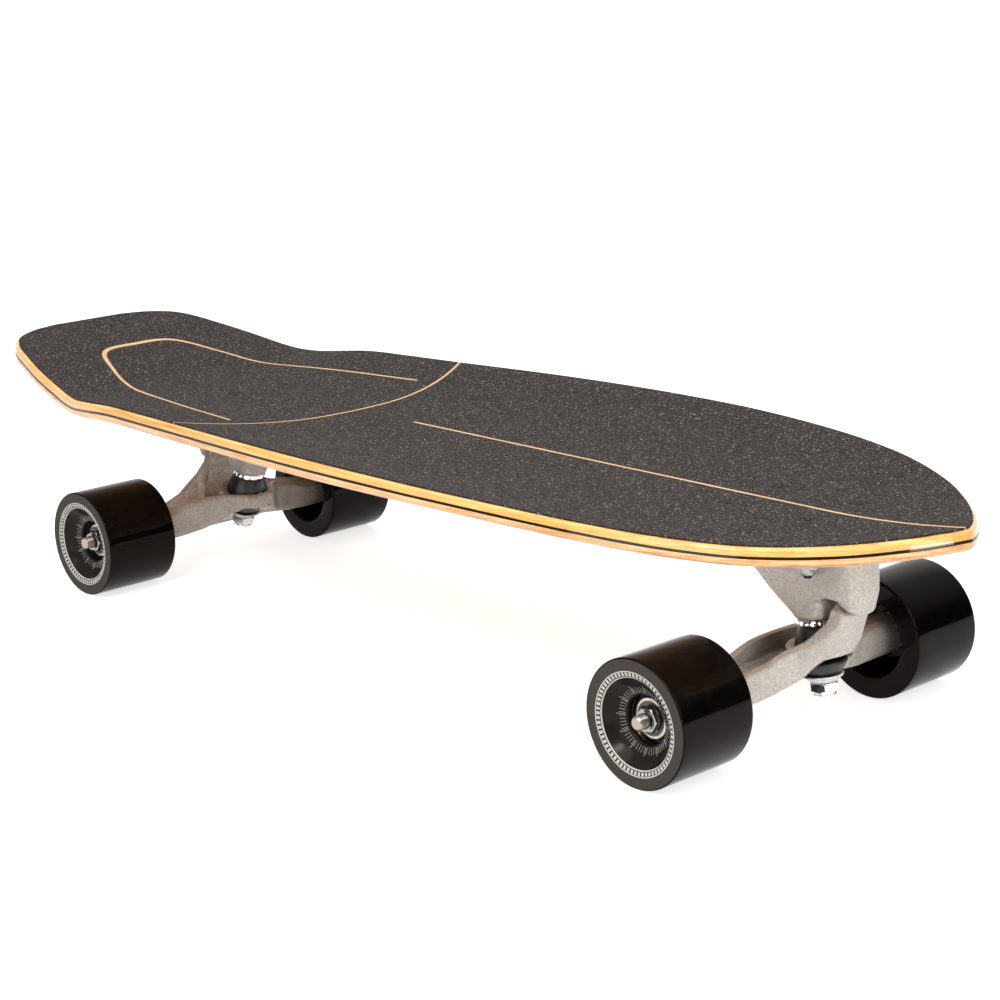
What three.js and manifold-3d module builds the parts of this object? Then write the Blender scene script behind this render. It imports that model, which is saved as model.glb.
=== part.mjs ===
// Surf skateboard: a pressed maple deck with grip sheets, two cast trucks that steer by leaning,
// and four urethane wheels on bearings. Millimetres, +X to the nose, +Y to the left, +Z up.
// The origin is on the ground under the middle of the deck.

import * as THREE from "three";
import { mergeVertices } from "three/addons/utils/BufferGeometryUtils.js";
import Module from "manifold-3d";

const wasm = await Module();
wasm.setup();

// Clearances shared by the whole board

const seatGap = 0.3;            // between pieces that rest on each other
const swingGap = 1.2;           // round a piece that the hanger swings past
const seatPlay = 0.6;           // round a bushing in its cup
const cutOverrun = 4;           // how far a cutting tool runs past the face that it cuts
const cutReach = 300;           // length of a tool that runs right through a piece
const weldDistance = 1e-4;      // corners nearer than this are one corner

// Driving dimensions of the deck

const deckLength = 794;
const deckWidth = 263;
const deckThickness = 10.5;
const deckEdgeRound = 3;        // how far the rounded edge reaches in from the outline
const deckEdgeDrop = 3;         // how far the rounded edge reaches down
const concaveDepth = 10;        // rise of the rails over the centre line
const concaveFlat = 24;         // half width of the flat along the centre line
const concaveTailStart = 126.5; // from the tail end, where the rails begin to rise
const concaveTailFull = 218.5;  // from the tail end, where the concave is at its full depth
const concaveNoseFull = 275.5;  // from the nose end, where the concave starts to fade
const concaveNoseEnd = 63.5;    // from the nose end, where it is gone
const tailKickLength = 135.3;
const tailKickSlope = 0.19;
const tailKickBlend = 20;
const noseRiseLength = 81.5;
const noseRiseSlope = 0.09;
const noseRiseBlend = 30;

// Grip sheets, with the wood showing between them as thin lines

const gripThickness = 0.8;
const gripBorder = 3.4;         // wood left bare along the rail
const lineWidth = 2.4;
const padLineAhead = 315;       // from the tail end to where the line across the deck meets the centre line
const padLineSweep = 46;        // how far that line sweeps back at the rails
const stringerAhead = 55.5;     // start of the middle line, ahead of the line across the deck
const padMouthBehind = 31.5;    // open front end of the tail pad line, behind the line across the deck
const padMouthHalf = 76.5;
const padSideBow = 2.4;         // how far the pad line bows out between its mouth and its hips
const padHipAhead = 138.5;      // from the tail end
const padHipHalf = 54;
const padEndBow = 3.6;
const padEndAhead = 67;         // from the tail end
const padEndHalf = 27;
const padTipReach = 3.8;        // how far the closed end bows past its corners
const padTipWidth = 4.6;        // width of the line at its closed end

// Trucks, given from the truck's own axle: out is towards the end of the board, up is above the axle

const truckHeight = 79.3;        // from the axle to the top of the plate
const boltPitchLength = 53.98;
const boltPitchWidth = 41.28;
const hangerLength = 165.1;
const hangerEndRadius = 11.5;
const axleRadius = 4;
const axleLength = 232.4;
const axleEndChamfer = 0.8;

const trucks = {
  front: { turn: 0, axleInset: 120.6, mountOut: 3.8, bossOut: 19.6, bossUp: 33.6, kingpinTilt: 7.1,
    pivotOut: 44.5, pivotUp: 48, columnOut: 55.5, housingRise: 4, footOut: 40, footUp: 14, wallDrop: 4.5,
    swing: 5,
    riseShares: [1, 1, 0.74, 0.6, 0.37, 0.21, 0.02, -0.04, 0, 0] },
  rear: { turn: Math.PI, axleInset: 163.6, mountOut: -20.9, bossOut: -29.8, bossUp: 34.1, kingpinTilt: 17,
    pivotOut: 8.5, pivotUp: 44.5, columnOut: 20, housingRise: 4.5, footOut: 11, footUp: -5.5,
    wallDrop: 3.6, swing: 8,
    riseShares: [1, 1, 0.85, 0.76, 0.57, 0.42, 0.17, 0.02, 0, 0] },
};

const plateInner = 41.5;         // from the middle of the bolts to the plate's end under the middle of the deck
const plateOuter = 53;           // and to its other end
const plateWidth = 57;
const plateThickness = 6;
const plateCorner = 9;
const bodyHalfWidth = 13;
const bodyEdge = 2.5;
const bodyCorner = 4;
const flareReach = 9;            // how far the body spreads out to meet the plate
const flareDrop = 10;            // how far under the plate that starts
const columnCorner = 10;
const cornerSteps = 3;
const bossRadius = 11.9;
const housingRadius = 9.6;       // of the pivot housing's mouth
const housingBulge = 1.8;        // how far the housing swells outward over its mouth
const housingThroat = 7.6;       // from the pivot axis to the housing's side at the arch
const archRise = 12;             // foot of the arch over the boss's lower face
const archRadius = 3;            // of the arch where it leaves the boss
const bossOuterCorner = 7.5;     // rounding of the boss on the side of the arch
const archLean = 0.5;            // how far the boss side of the arch leans outward
const nutRecess = 7.6;           // radius of the scallops round the bolt nuts

// The stack on each kingpin, from the nut up to the boss

const kingpinRadius = 4.76;
const kingpinEnd = 1.2;          // threads showing under the nut
const kingpinNutAcross = 14.3;
const kingpinNutHeight = 6.8;
const washerRadius = 11.3;       // rim of the cup washer
const washerBase = 7.9;          // radius of its flat bottom
const washerHeight = 3.8;
const washerThickness = 1.4;
const lowerBushingHeight = 10.4;
const upperBushingHeight = 15.6;
const bushingWideRadius = 13.8;
const bushingEdge = 0.8;
const seatWeb = 5;               // metal between the two bushings
const seatCup = 1.4;             // depth of the cup that holds each bushing
const seatCupWall = 3.8;
const pocketDrop = 4;            // from the seat down to the pocket that the lower washer swings in
const seatHoleRadius = 6.6;
const bossHeight = 22;
const kingpinHeadAcross = 14.3;
const kingpinHeadHeight = 6;
const headPocketRadius = 9.4;

// The pivot

const noseRadius = 4.2;
const noseRootRadius = 6;
const noseRound = 2.1;
const noseReach = 3.4;           // of the pivot's tip past the pivot point
const shoulderDrop = 5.1;        // from the pivot point down to the hanger's shoulder
const mouthDrop = 3;             // from the pivot point down to the housing's mouth
const cupWall = 1.8;
const cupFloor = 1.6;

// Wheels

const wheelRadius = 34.5;
const wheelWidth = 51;
const wheelSpacing = 184.1;      // between the middles of a pair of wheels
const wheelLip = 3.4;
const faceInnerRadius = 24.8;
const bowlDepth = 8.6;
const boreMouthRadius = 12.8;
const innerOpeningRadius = 22.5;
const innerThroatRadius = 15;
const coreRadius = 9.3;
const bearingRadius = 11;
const bearingWidth = 7;
const bearingSpacing = 10;       // clear space between the two bearings of a wheel
const bearingShieldInset = 0.4;
const bearingRaceWall = 1.6;
const bearingShieldEdge = 2.4;   // from the bearing's outside in to its shield
const speedWasherRadius = 7.6;
const speedWasherThickness = 1;
const axleNutAcross = 12.7;
const axleNutHeight = 6.6;
const nutCollar = 1.6;           // height of the nylon collar on the locking nuts
const collarShare = 0.44;        // collar radius over the width across the flats

// Deck bolts

const boltRadius = 2.4;
const boltHeadRadius = 4.7;
const boltHeadDepth = 2.7;
const boltLength = 28.5;
const boltNutAcross = 9.5;
const boltNutHeight = 4.6;

// Heights worked out from the sizes above

const deckHeight = wheelRadius + truckHeight + seatGap + deckThickness; // top of the wood on the centre line
const plateLow = truckHeight - plateThickness;                          // above the axle

// Facets of round pieces

const wheelSides = 24;
const ringSides = 14;
const smallSides = 12;
const boltSides = 8;

// Finishes: colour, roughness, metalness

const finishes = {
  maple: [0xd9a45c, 0.35, 0],
  grip: [0x3c3835, 0.95, 0],
  cast: [0xb5aea6, 0.55, 0.85],
  steel: [0xc9cbcd, 0.25, 1],
  darkSteel: [0x2b2b2c, 0.4, 0.8],
  bushing: [0x17181a, 0.5, 0],
  cup: [0x1d1d1f, 0.6, 0],
  urethane: [0x161515, 0.3, 0],
};

// Solids

function toSolid(geometry) {
  const bare = geometry.index ? geometry.toNonIndexed() : geometry.clone();
  bare.deleteAttribute("normal");
  bare.deleteAttribute("uv");
  const merged = mergeVertices(bare, weldDistance);
  return new wasm.Manifold(new wasm.Mesh({
    numProp: 3,
    vertProperties: new Float32Array(merged.attributes.position.array),
    triVerts: new Uint32Array(merged.index.array),
  }));
}

function toGeometry(solid) {
  const mesh = solid.getMesh();
  const geometry = new THREE.BufferGeometry();
  geometry.setAttribute("position", new THREE.BufferAttribute(new Float32Array(mesh.vertProperties), 3));
  geometry.setIndex(new THREE.BufferAttribute(new Uint32Array(mesh.triVerts), 1));
  geometry.computeVertexNormals();
  return geometry;
}

const joined = (first, ...rest) => rest.reduce((sum, next) => sum.add(next), first);
const without = (first, ...rest) => rest.reduce((sum, next) => sum.subtract(next), first);

// A ring or shaft about Z from points [radius, height]; closed on itself or on the axis
function revolve(points, sides) {
  const area = points.reduce((sum, [r, h], i) => {
    const [nextR, nextH] = points[(i + 1) % points.length];
    return sum + r * nextH - nextR * h;
  }, 0);
  const ordered = area > 0 ? points : [...points].reverse();
  const closed = ordered.every(([r]) => r > 0) ? [...ordered, ordered[0]] : turnedToAxis(ordered);
  const profile = closed.map(([r, h]) => new THREE.Vector2(r, h));
  return new THREE.LatheGeometry(profile, sides).rotateX(Math.PI / 2);
}

// Starts a profile that touches the axis at its first point on the axis
function turnedToAxis(points) {
  const start = points.findIndex(([r], i) => r === 0 && points[(i + points.length - 1) % points.length][0] === 0);
  return [...points.slice(start), ...points.slice(0, start)];
}

function cylinder(radius, low, high, sides = ringSides) {
  return revolve([[0, low], [radius, low], [radius, high], [0, high]], sides);
}

function extrude(shape, depth, steps = 6) {
  return new THREE.ExtrudeGeometry(shape, { depth, bevelEnabled: false, curveSegments: steps });
}

function hexagon(across) {
  const shape = new THREE.Shape();
  for (let i = 0; i < 6; i++) {
    const angle = (i * Math.PI) / 3;
    const corner = across / Math.sqrt(3);
    const method = i === 0 ? "moveTo" : "lineTo";
    shape[method](corner * Math.cos(angle), corner * Math.sin(angle));
  }
  shape.closePath();
  return shape;
}

function roundedRectangle(length, width, radius) {
  const x = length / 2;
  const y = width / 2;
  const shape = new THREE.Shape();
  shape.moveTo(-x + radius, -y);
  shape.lineTo(x - radius, -y);
  shape.absarc(x - radius, -y + radius, radius, -Math.PI / 2, 0, false);
  shape.absarc(x - radius, y - radius, radius, 0, Math.PI / 2, false);
  shape.absarc(-x + radius, y - radius, radius, Math.PI / 2, Math.PI, false);
  shape.absarc(-x + radius, -y + radius, radius, Math.PI, Math.PI * 1.5, false);
  return shape;
}

// A slot with round ends that runs across the board
function stadium(radius, halfSpan) {
  const shape = new THREE.Shape();
  shape.absarc(0, halfSpan, radius, 0, Math.PI, false);
  shape.absarc(0, -halfSpan, radius, Math.PI, Math.PI * 2, false);
  shape.closePath();
  return shape;
}

// Skin over rings of points, capped at both ends
function loft(rings) {
  const count = rings[0].length;
  const points = rings.flat();
  const index = [];
  for (let i = 0; i < rings.length - 1; i++) {
    for (let j = 0; j < count; j++) {
      const a = i * count + j;
      const b = i * count + ((j + 1) % count);
      index.push(a, b, b + count, a, b + count, a + count);
    }
  }
  const last = (rings.length - 1) * count;
  for (let j = 1; j < count - 1; j++) {
    index.push(0, j + 1, j, last, last + j, last + j + 1);
  }
  const geometry = new THREE.BufferGeometry().setFromPoints(points);
  geometry.setIndex(index);
  return geometry;
}

// Materials and meshes

function piece(name, geometry, finish) {
  const [color, roughness, metalness] = finishes[finish];
  const mesh = new THREE.Mesh(geometry, new THREE.MeshStandardMaterial({ color, roughness, metalness }));
  mesh.name = name;
  return mesh;
}

// Deck shape

const deckHalf = deckWidth / 2;
const tailX = -deckLength / 2;
const noseX = deckLength / 2;

// Half outline from the tail to the nose, as shares of the length and of the half width
const outlineShares = [
  [0, 0.22], [0.0055, 0.38], [0.018, 0.515], [0.036, 0.585], [0.0605, 0.632], [0.098, 0.692],
  [0.149, 0.753], [0.197, 0.823], [0.23, 0.859], [0.268, 0.877], [0.35, 0.915], [0.451, 0.966],
  [0.526, 0.991], [0.602, 1], [0.678, 0.987], [0.753, 0.941], [0.804, 0.886], [0.854, 0.797],
  [0.904, 0.645], [0.942, 0.462], [0.966, 0.318], [0.984, 0.196], [0.995, 0.1], [1, 0.02],
];
const deckStations = 30;
const bandSteps = 3;
const tipStartShare = 0.55;     // where the pad line starts to widen, from its mouth to its closed end
const lineShares = [-1, -0.74, -0.46, -0.18, 0.18, 0.46, 0.74, 1];

const outlineCurve = new THREE.CatmullRomCurve3(
  outlineShares.map(([along, across]) => new THREE.Vector3(tailX + along * deckLength, across * deckHalf, 0)),
  false, "centripetal",
);

// Height of a bend: level, then a steady slope, with a smooth blend of the given half length
function bendRise(distance, slope, blend) {
  if (distance <= -blend) return 0;
  if (distance >= blend) return slope * distance;
  return (slope * (distance + blend) ** 2) / (4 * blend);
}

function concaveShare(x) {
  const fromTail = x - tailX;
  const fromNose = noseX - x;
  if (fromTail < concaveTailFull) {
    return THREE.MathUtils.smoothstep(fromTail, concaveTailStart, concaveTailFull);
  }
  if (fromNose > concaveNoseFull) return 1;
  const faded = (concaveNoseFull - fromNose) / (concaveNoseFull - concaveNoseEnd);
  return faded >= 1 ? 0 : Math.sqrt(1 - faded ** 2);
}

function deckTop(x, y) {
  const tailRise = bendRise(tailX + tailKickLength - x, tailKickSlope, tailKickBlend);
  const noseRise = bendRise(x - noseX + noseRiseLength, noseRiseSlope, noseRiseBlend);
  const offCentre = Math.max(0, Math.abs(y) - concaveFlat) / (deckHalf - concaveFlat);
  return deckHeight + tailRise + noseRise + concaveDepth * concaveShare(x) * offCentre ** 2;
}

// Rows of points across the board inside the outline, at a depth below the deck's top
function deckRows(inset, depth) {
  return Array.from({ length: deckStations + 1 }, (_, i) => {
    const t = i / deckStations;
    const point = outlineCurve.getPoint(t);
    const along = outlineCurve.getTangent(t);
    const end = i === 0 ? -1 : i === deckStations ? 1 : 0;
    const x = end === 0 ? point.x + inset * along.y : point.x - end * inset;
    const half = end === 0 ? point.y - inset * along.x : point.y - inset / 2;
    return lineShares.map((share) => {
      const y = Math.max(half, inset / 4) * share;
      return new THREE.Vector3(x, y, deckTop(x, y) - depth);
    });
  });
}

// A closed sheet from layers of rows, the first on top: both faces and the edge all round
function slab(layers) {
  const rows = layers[0].length;
  const columns = layers[0][0].length;
  const points = layers.flat(2);
  const at = (layer, i, j) => (layer * rows + i) * columns + j;
  const index = [];
  const quad = (a, b, c, d) => index.push(a, b, c, a, c, d);
  const bottom = layers.length - 1;
  for (let i = 0; i < rows - 1; i++) {
    for (let j = 0; j < columns - 1; j++) {
      quad(at(0, i, j), at(0, i + 1, j), at(0, i + 1, j + 1), at(0, i, j + 1));
      quad(at(bottom, i, j), at(bottom, i, j + 1), at(bottom, i + 1, j + 1), at(bottom, i + 1, j));
    }
  }
  const rim = [];
  for (let j = 0; j < columns - 1; j++) rim.push([0, j]);
  for (let i = 0; i < rows - 1; i++) rim.push([i, columns - 1]);
  for (let j = columns - 1; j > 0; j--) rim.push([rows - 1, j]);
  for (let i = rows - 1; i > 0; i--) rim.push([i, 0]);
  for (let layer = 0; layer < bottom; layer++) {
    rim.forEach(([i, j], k) => {
      const [nextI, nextJ] = rim[(k + 1) % rim.length];
      quad(at(layer, i, j), at(layer, nextI, nextJ), at(layer + 1, nextI, nextJ), at(layer + 1, i, j));
    });
  }
  const used = new THREE.BufferGeometry().setFromPoints(points);
  used.setIndex(index);
  return used;
}

// Places of the deck bolts

const sides = { left: 1, right: -1 };
const ends = { outer: 1, inner: -1 };
const axleX = (truck) => Math.cos(truck.turn) * (deckLength / 2 - truck.axleInset);

function boltPlaces(truck) {
  const outward = Math.cos(truck.turn);
  const places = [];
  for (const [sideName, side] of Object.entries(sides)) {
    for (const [endName, end] of Object.entries(ends)) {
      places.push({
        name: `${sideName}_${endName}`,
        x: axleX(truck) + outward * (truck.mountOut + (end * boltPitchLength) / 2),
        y: (side * boltPitchWidth) / 2,
      });
    }
  }
  return places;
}

const allBoltPlaces = Object.values(trucks).flatMap(boltPlaces);

function boltTool(place, clearance) {
  const top = deckTop(place.x, place.y) + gripThickness + seatGap;
  const tool = revolve([
    [0, top - boltLength], [boltRadius + clearance, top - boltLength],
    [boltRadius + clearance, top - boltHeadDepth - clearance], [boltHeadRadius + clearance, top],
    [boltHeadRadius + clearance, top + cutOverrun], [0, top + cutOverrun],
  ], boltSides);
  return toSolid(tool.translate(place.x, place.y, 0));
}

function makeDeck() {
  const board = slab([
    deckRows(deckEdgeRound, 0),
    deckRows(0, deckEdgeDrop),
    deckRows(0, deckThickness - deckEdgeDrop),
    deckRows(deckEdgeRound, deckThickness),
  ]);
  const holes = allBoltPlaces.map((place) => boltTool(place, seatGap));
  return toGeometry(without(toSolid(board), ...holes));
}

// Grip sheets

const gripTopDepth = -(gripThickness + seatGap);
const padLineX = tailX + padLineAhead;

function wholeGrip() {
  return toSolid(slab([deckRows(gripBorder, gripTopDepth), deckRows(gripBorder, -seatGap)]));
}

function prism(shape) {
  return toSolid(extrude(shape, cutReach));
}

// Everything ahead of the line across the deck, which sweeps back towards the rails
function padLineFront(offset) {
  const shape = new THREE.Shape();
  const reach = deckHalf + cutOverrun;
  shape.moveTo(noseX + cutOverrun, -reach);
  shape.lineTo(noseX + cutOverrun, reach);
  shape.lineTo(padLineX - padLineSweep + offset, reach);
  shape.quadraticCurveTo(padLineX + padLineSweep + offset, 0, padLineX - padLineSweep + offset, -reach);
  shape.closePath();
  return shape;
}

// A band along a path in plan, open at both ends, with its own width at each share of its length
function planBand(points, widthAt) {
  const path = new THREE.CatmullRomCurve3(points, false, "centripetal");
  const samples = path.getPoints((points.length - 1) * bandSteps);
  const left = [];
  const right = [];
  samples.forEach((point, i) => {
    const ahead = samples[Math.min(i + 1, samples.length - 1)];
    const behind = samples[Math.max(i - 1, 0)];
    const along = ahead.clone().sub(behind).normalize();
    const half = widthAt(i / (samples.length - 1)) / 2;
    left.push(new THREE.Vector2(point.x - along.y * half, point.y + along.x * half));
    right.unshift(new THREE.Vector2(point.x + along.y * half, point.y - along.x * half));
  });
  return new THREE.Shape([...left, ...right]);
}

function padLine() {
  const mouthX = padLineX - padMouthBehind;
  const hipX = tailX + padHipAhead;
  const endX = tailX + padEndAhead;
  const half = [
    [mouthX, padMouthHalf], [(mouthX + hipX) / 2, (padMouthHalf + padHipHalf) / 2 + padSideBow],
    [hipX, padHipHalf], [(hipX + endX) / 2, (padHipHalf + padEndHalf) / 2 + padEndBow], [endX, padEndHalf],
  ];
  const back = half.map(([x, y]) => [x, -y]).reverse();
  const points = [...half, [endX - padTipReach, 0], ...back];
  const widthAt = (share) => {
    const nearTip = THREE.MathUtils.smoothstep(1 - Math.abs(share * 2 - 1), tipStartShare, 1);
    return THREE.MathUtils.lerp(lineWidth, padTipWidth, nearTip);
  };
  return planBand(points.map(([x, y]) => new THREE.Vector3(x, y, 0)), widthAt);
}

function gripHoles() {
  return allBoltPlaces.map((place) => {
    const tool = cylinder(boltHeadRadius + seatGap, 0, cutReach, boltSides);
    return toSolid(tool.translate(place.x, place.y, 0));
  });
}

function makeFrontGrip() {
  const stringerLength = noseX - padLineX - stringerAhead;
  const slot = extrude(roundedRectangle(stringerLength * 2, lineWidth, lineWidth / 4), cutReach, bandSteps);
  const sheet = wholeGrip().intersect(prism(padLineFront(lineWidth / 2)));
  return toGeometry(without(sheet, toSolid(slot.translate(noseX, 0, 0)), ...gripHoles()));
}

function makeRearGrip() {
  const sheet = without(wholeGrip(), prism(padLineFront(-lineWidth / 2)), prism(padLine()));
  return toGeometry(without(sheet, ...gripHoles()));
}

// Truck frames: along the kingpin from the nut's lower face, and along the pivot axis

function kingpinFrame(truck) {
  const tilt = THREE.MathUtils.degToRad(truck.kingpinTilt);
  const foot = new THREE.Vector3(
    truck.bossOut + Math.sin(tilt) * stackHeight, 0, truck.bossUp - Math.cos(tilt) * stackHeight,
  );
  return new THREE.Matrix4().makeRotationY(-tilt).setPosition(foot);
}

const lowerWasherAt = kingpinNutHeight + seatGap;
const lowerBushingAt = lowerWasherAt + washerThickness + seatGap;
const webAt = lowerBushingAt + lowerBushingHeight + seatGap;
const upperBushingAt = webAt + seatWeb + seatGap;
const upperWasherAt = upperBushingAt + upperBushingHeight + seatGap;
const stackHeight = upperWasherAt + washerThickness + seatGap;
const headAt = stackHeight + bossHeight;

function seatPoint(truck) {
  return new THREE.Vector3(0, 0, webAt + seatWeb / 2).applyMatrix4(kingpinFrame(truck));
}

// Direction of the steering axis, from the bushing seat up to the pivot
function steerDirection(truck) {
  return new THREE.Vector3(truck.pivotOut, 0, truck.pivotUp).sub(seatPoint(truck)).normalize();
}

function pivotFrame(truck) {
  const along = steerDirection(truck);
  const lean = Math.atan2(along.x, along.z);
  return new THREE.Matrix4().makeRotationY(lean).setPosition(truck.pivotOut, 0, truck.pivotUp);
}

// Baseplate, with heights above the axle as in the rest of the truck

function plateBolts(truck, radius, low, high, facets) {
  const tools = [];
  for (const side of Object.values(sides)) {
    for (const end of Object.values(ends)) {
      const out = truck.mountOut + (end * boltPitchLength) / 2;
      const tool = cylinder(radius, low, high, facets);
      tools.push(toSolid(tool.translate(out, (side * boltPitchWidth) / 2, 0)));
    }
  }
  return tools;
}

// How the body spreads under the plate: shares of the flare's height and of its reach
const flareShares = [[0, 0], [0.5, 0.12], [0.8, 0.42], [1, 1], [1.2, 1]];

// Plan of a cast column: a rectangle with one corner radius inward and one outward
function columnRing(low, high, half, cornerIn, cornerOut, height) {
  const points = [];
  const corner = (x, y, radius, start) => {
    for (let i = 0; i <= cornerSteps; i++) {
      const angle = start + (i * Math.PI) / 2 / cornerSteps;
      points.push(new THREE.Vector3(x + radius * Math.cos(angle), y + radius * Math.sin(angle), height));
    }
  };
  corner(high - cornerOut, half - cornerOut, cornerOut, 0);
  corner(low + cornerIn, half - cornerIn, cornerIn, Math.PI / 2);
  corner(low + cornerIn, -half + cornerIn, cornerIn, Math.PI);
  corner(high - cornerOut, -half + cornerOut, cornerOut, Math.PI * 1.5);
  return points;
}

// The boss on the kingpin, spreading up to the plate along a slope
function bossColumn(truck) {
  const plateIn = truck.mountOut - plateInner + bodyEdge;
  const bossIn = truck.bossOut - bossRadius;
  const bossOut = truck.bossOut + bossRadius;
  const archTop = truck.bossUp + archRise;
  const slopeShare = archRise / (plateLow - truck.bossUp);
  const archIn = THREE.MathUtils.lerp(bossIn, plateIn, slopeShare);
  const round = bossRadius - seatGap;
  const cornerMiddle = (round + bodyCorner) / 2;
  const top = bodyHalfWidth;
  const solid = toSolid(loft([
    columnRing(bossIn, bossOut, bossRadius, round, bossOuterCorner, truck.bossUp - bossRadius),
    columnRing(bossIn, bossOut, bossRadius, round, bossOuterCorner, truck.bossUp),
    columnRing(archIn, bossOut + archLean, top, cornerMiddle, bossOuterCorner, archTop),
    columnRing(plateIn, bossOut + archLean, top, bodyCorner, bodyCorner, plateLow),
    columnRing(plateIn, bossOut + archLean, top, bodyCorner, bodyCorner, truckHeight - bodyEdge),
  ]));
  const below = cylinder(plateInner + plateOuter, -cutReach, stackHeight, boltSides).applyMatrix4(kingpinFrame(truck));
  return without(solid, toSolid(below));
}

// The housing of the pivot, from its round mouth to the plate
function pivotColumn(truck) {
  const mouth = columnRing(
    -housingThroat, housingRadius, housingRadius, housingThroat - seatGap, housingRadius - seatGap, -mouthDrop,
  );
  const swell = columnRing(
    -housingThroat, housingRadius + housingBulge, housingRadius + housingBulge, housingThroat - seatGap,
    housingRadius - seatGap, housingBulge - mouthDrop,
  );
  for (const point of [...mouth, ...swell]) point.applyMatrix4(pivotFrame(truck));
  const columnIn = truck.pivotOut - housingThroat;
  const ring = (height) => columnRing(columnIn, truck.columnOut, bodyHalfWidth, bodyCorner, columnCorner, height);
  return toSolid(loft([mouth, swell, ring(truck.pivotUp + truck.housingRise), ring(truckHeight - bodyEdge)]));
}

// The body spreading out under the plate in a hollow curve
function bodyFlare(truck) {
  const low = truck.mountOut - plateInner + bodyEdge;
  const high = truck.mountOut + plateOuter - bodyEdge;
  const rings = flareShares.map(([rise, spread]) => columnRing(
    low, high, bodyHalfWidth + flareReach * spread, bodyCorner, columnCorner, plateLow - flareDrop * (1 - rise),
  ));
  return toSolid(loft(rings));
}

// The wall between the two columns, over an arch
function bodyWall(truck) {
  const low = truck.bossUp + archRise;
  const archIn = truck.bossOut + bossRadius + archLean;
  const shape = new THREE.Shape();
  shape.moveTo(truck.bossOut, truckHeight - bodyEdge);
  shape.lineTo(truck.bossOut, low);
  shape.lineTo(archIn, low);
  shape.absarc(archIn + archRadius, low, archRadius, Math.PI, Math.PI / 2, true);
  shape.lineTo(truck.pivotOut, low + archRadius);
  shape.lineTo(truck.pivotOut, truckHeight - bodyEdge);
  shape.closePath();
  const wall = extrude(shape, bodyHalfWidth * 2, cornerSteps).rotateX(Math.PI / 2);
  return toSolid(wall.translate(0, bodyHalfWidth, 0));
}

function makeBaseplate(truck) {
  const outline = roundedRectangle(plateInner + plateOuter, plateWidth, plateCorner);
  const plate = extrude(outline, plateThickness, cornerSteps)
    .translate(truck.mountOut + (plateOuter - plateInner) / 2, 0, plateLow);
  const bore = cylinder(kingpinRadius + seatGap, 0, cutReach, smallSides).applyMatrix4(kingpinFrame(truck));
  const headPocket = cylinder(headPocketRadius, headAt, cutReach, smallSides).applyMatrix4(kingpinFrame(truck));
  const cupTop = noseReach + seatGap + cupFloor + seatGap;
  const cupBore = cylinder(noseRadius + seatGap + cupWall + seatGap, -mouthDrop - cutOverrun, cupTop)
    .applyMatrix4(pivotFrame(truck));
  return toGeometry(without(
    joined(toSolid(plate), bossColumn(truck), pivotColumn(truck), bodyWall(truck), bodyFlare(truck)),
    toSolid(bore), toSolid(headPocket), toSolid(cupBore),
    ...plateBolts(truck, boltRadius + seatGap, 0, cutReach, boltSides),
    ...plateBolts(truck, nutRecess, 0, plateLow, smallSides),
  ));
}

function makePivotCup() {
  const inner = noseRadius + seatGap;
  const top = noseReach + seatGap;
  return revolve([
    [0, top + cupFloor], [inner + cupWall, top + cupFloor], [inner + cupWall, -mouthDrop + seatGap],
    [inner, -mouthDrop + seatGap], [inner, top - noseRound], [inner - noseRound, top],
    [0, top],
  ], ringSides);
}

// Hanger casting

// Stations from the middle out to the arm's end, and how each line of the casting goes there:
// the pivot wall's reach, the wall round the seat, the inner wall's rise, and the wall's foot
const stationShares = [0, 0.107, 0.118, 0.14, 0.19, 0.25, 0.376, 0.545, 0.75, 1];
const neckShares = [1, 1, 0.89, 0.79, 0.55, 0.33, 0.15, 0.05, 0, 0];
const seatShares = [1, 0.95, 0.94, 0.88, 0.72, 0.5, 0.17, 0.05, 0, 0];
const topShares = [1, 1, 1, 1, 0.98, 0.92, 0.66, 0.35, 0.08, 0];
const footShares = [1, 0.9, 0.88, 0.85, 0.7, 0.48, 0.16, 0.04, 0, 0];
const armShares = [1, 1, 1, 1, 1, 1, 0.98, 0.85, 0.35, 0];
const depthShares = [1, 0.6, 0.66, 0.74, 0.88, 1, 1, 1, 1, 1];

const armAngles = [-125, -90, -55, -25, 15, 42, 62, 78, 100, 118, 138, 165, 205];
const armWall = 5.5;
const armBottomDrop = 9;       // bottom of the casting under the axle at the middle
const innerWallRise = 7;       // inner wall over the arm's end, at the middle
const troughRise = 7;          // trough floor over the axle
const neckDepth = 13;
const neckShift = 0.8;         // how far the neck stands out of line with the pivot

const shoulderPoint = (truck) => {
  const pivot = new THREE.Vector3(truck.pivotOut, 0, truck.pivotUp);
  return pivot.addScaledVector(steerDirection(truck), -shoulderDrop);
};

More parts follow.
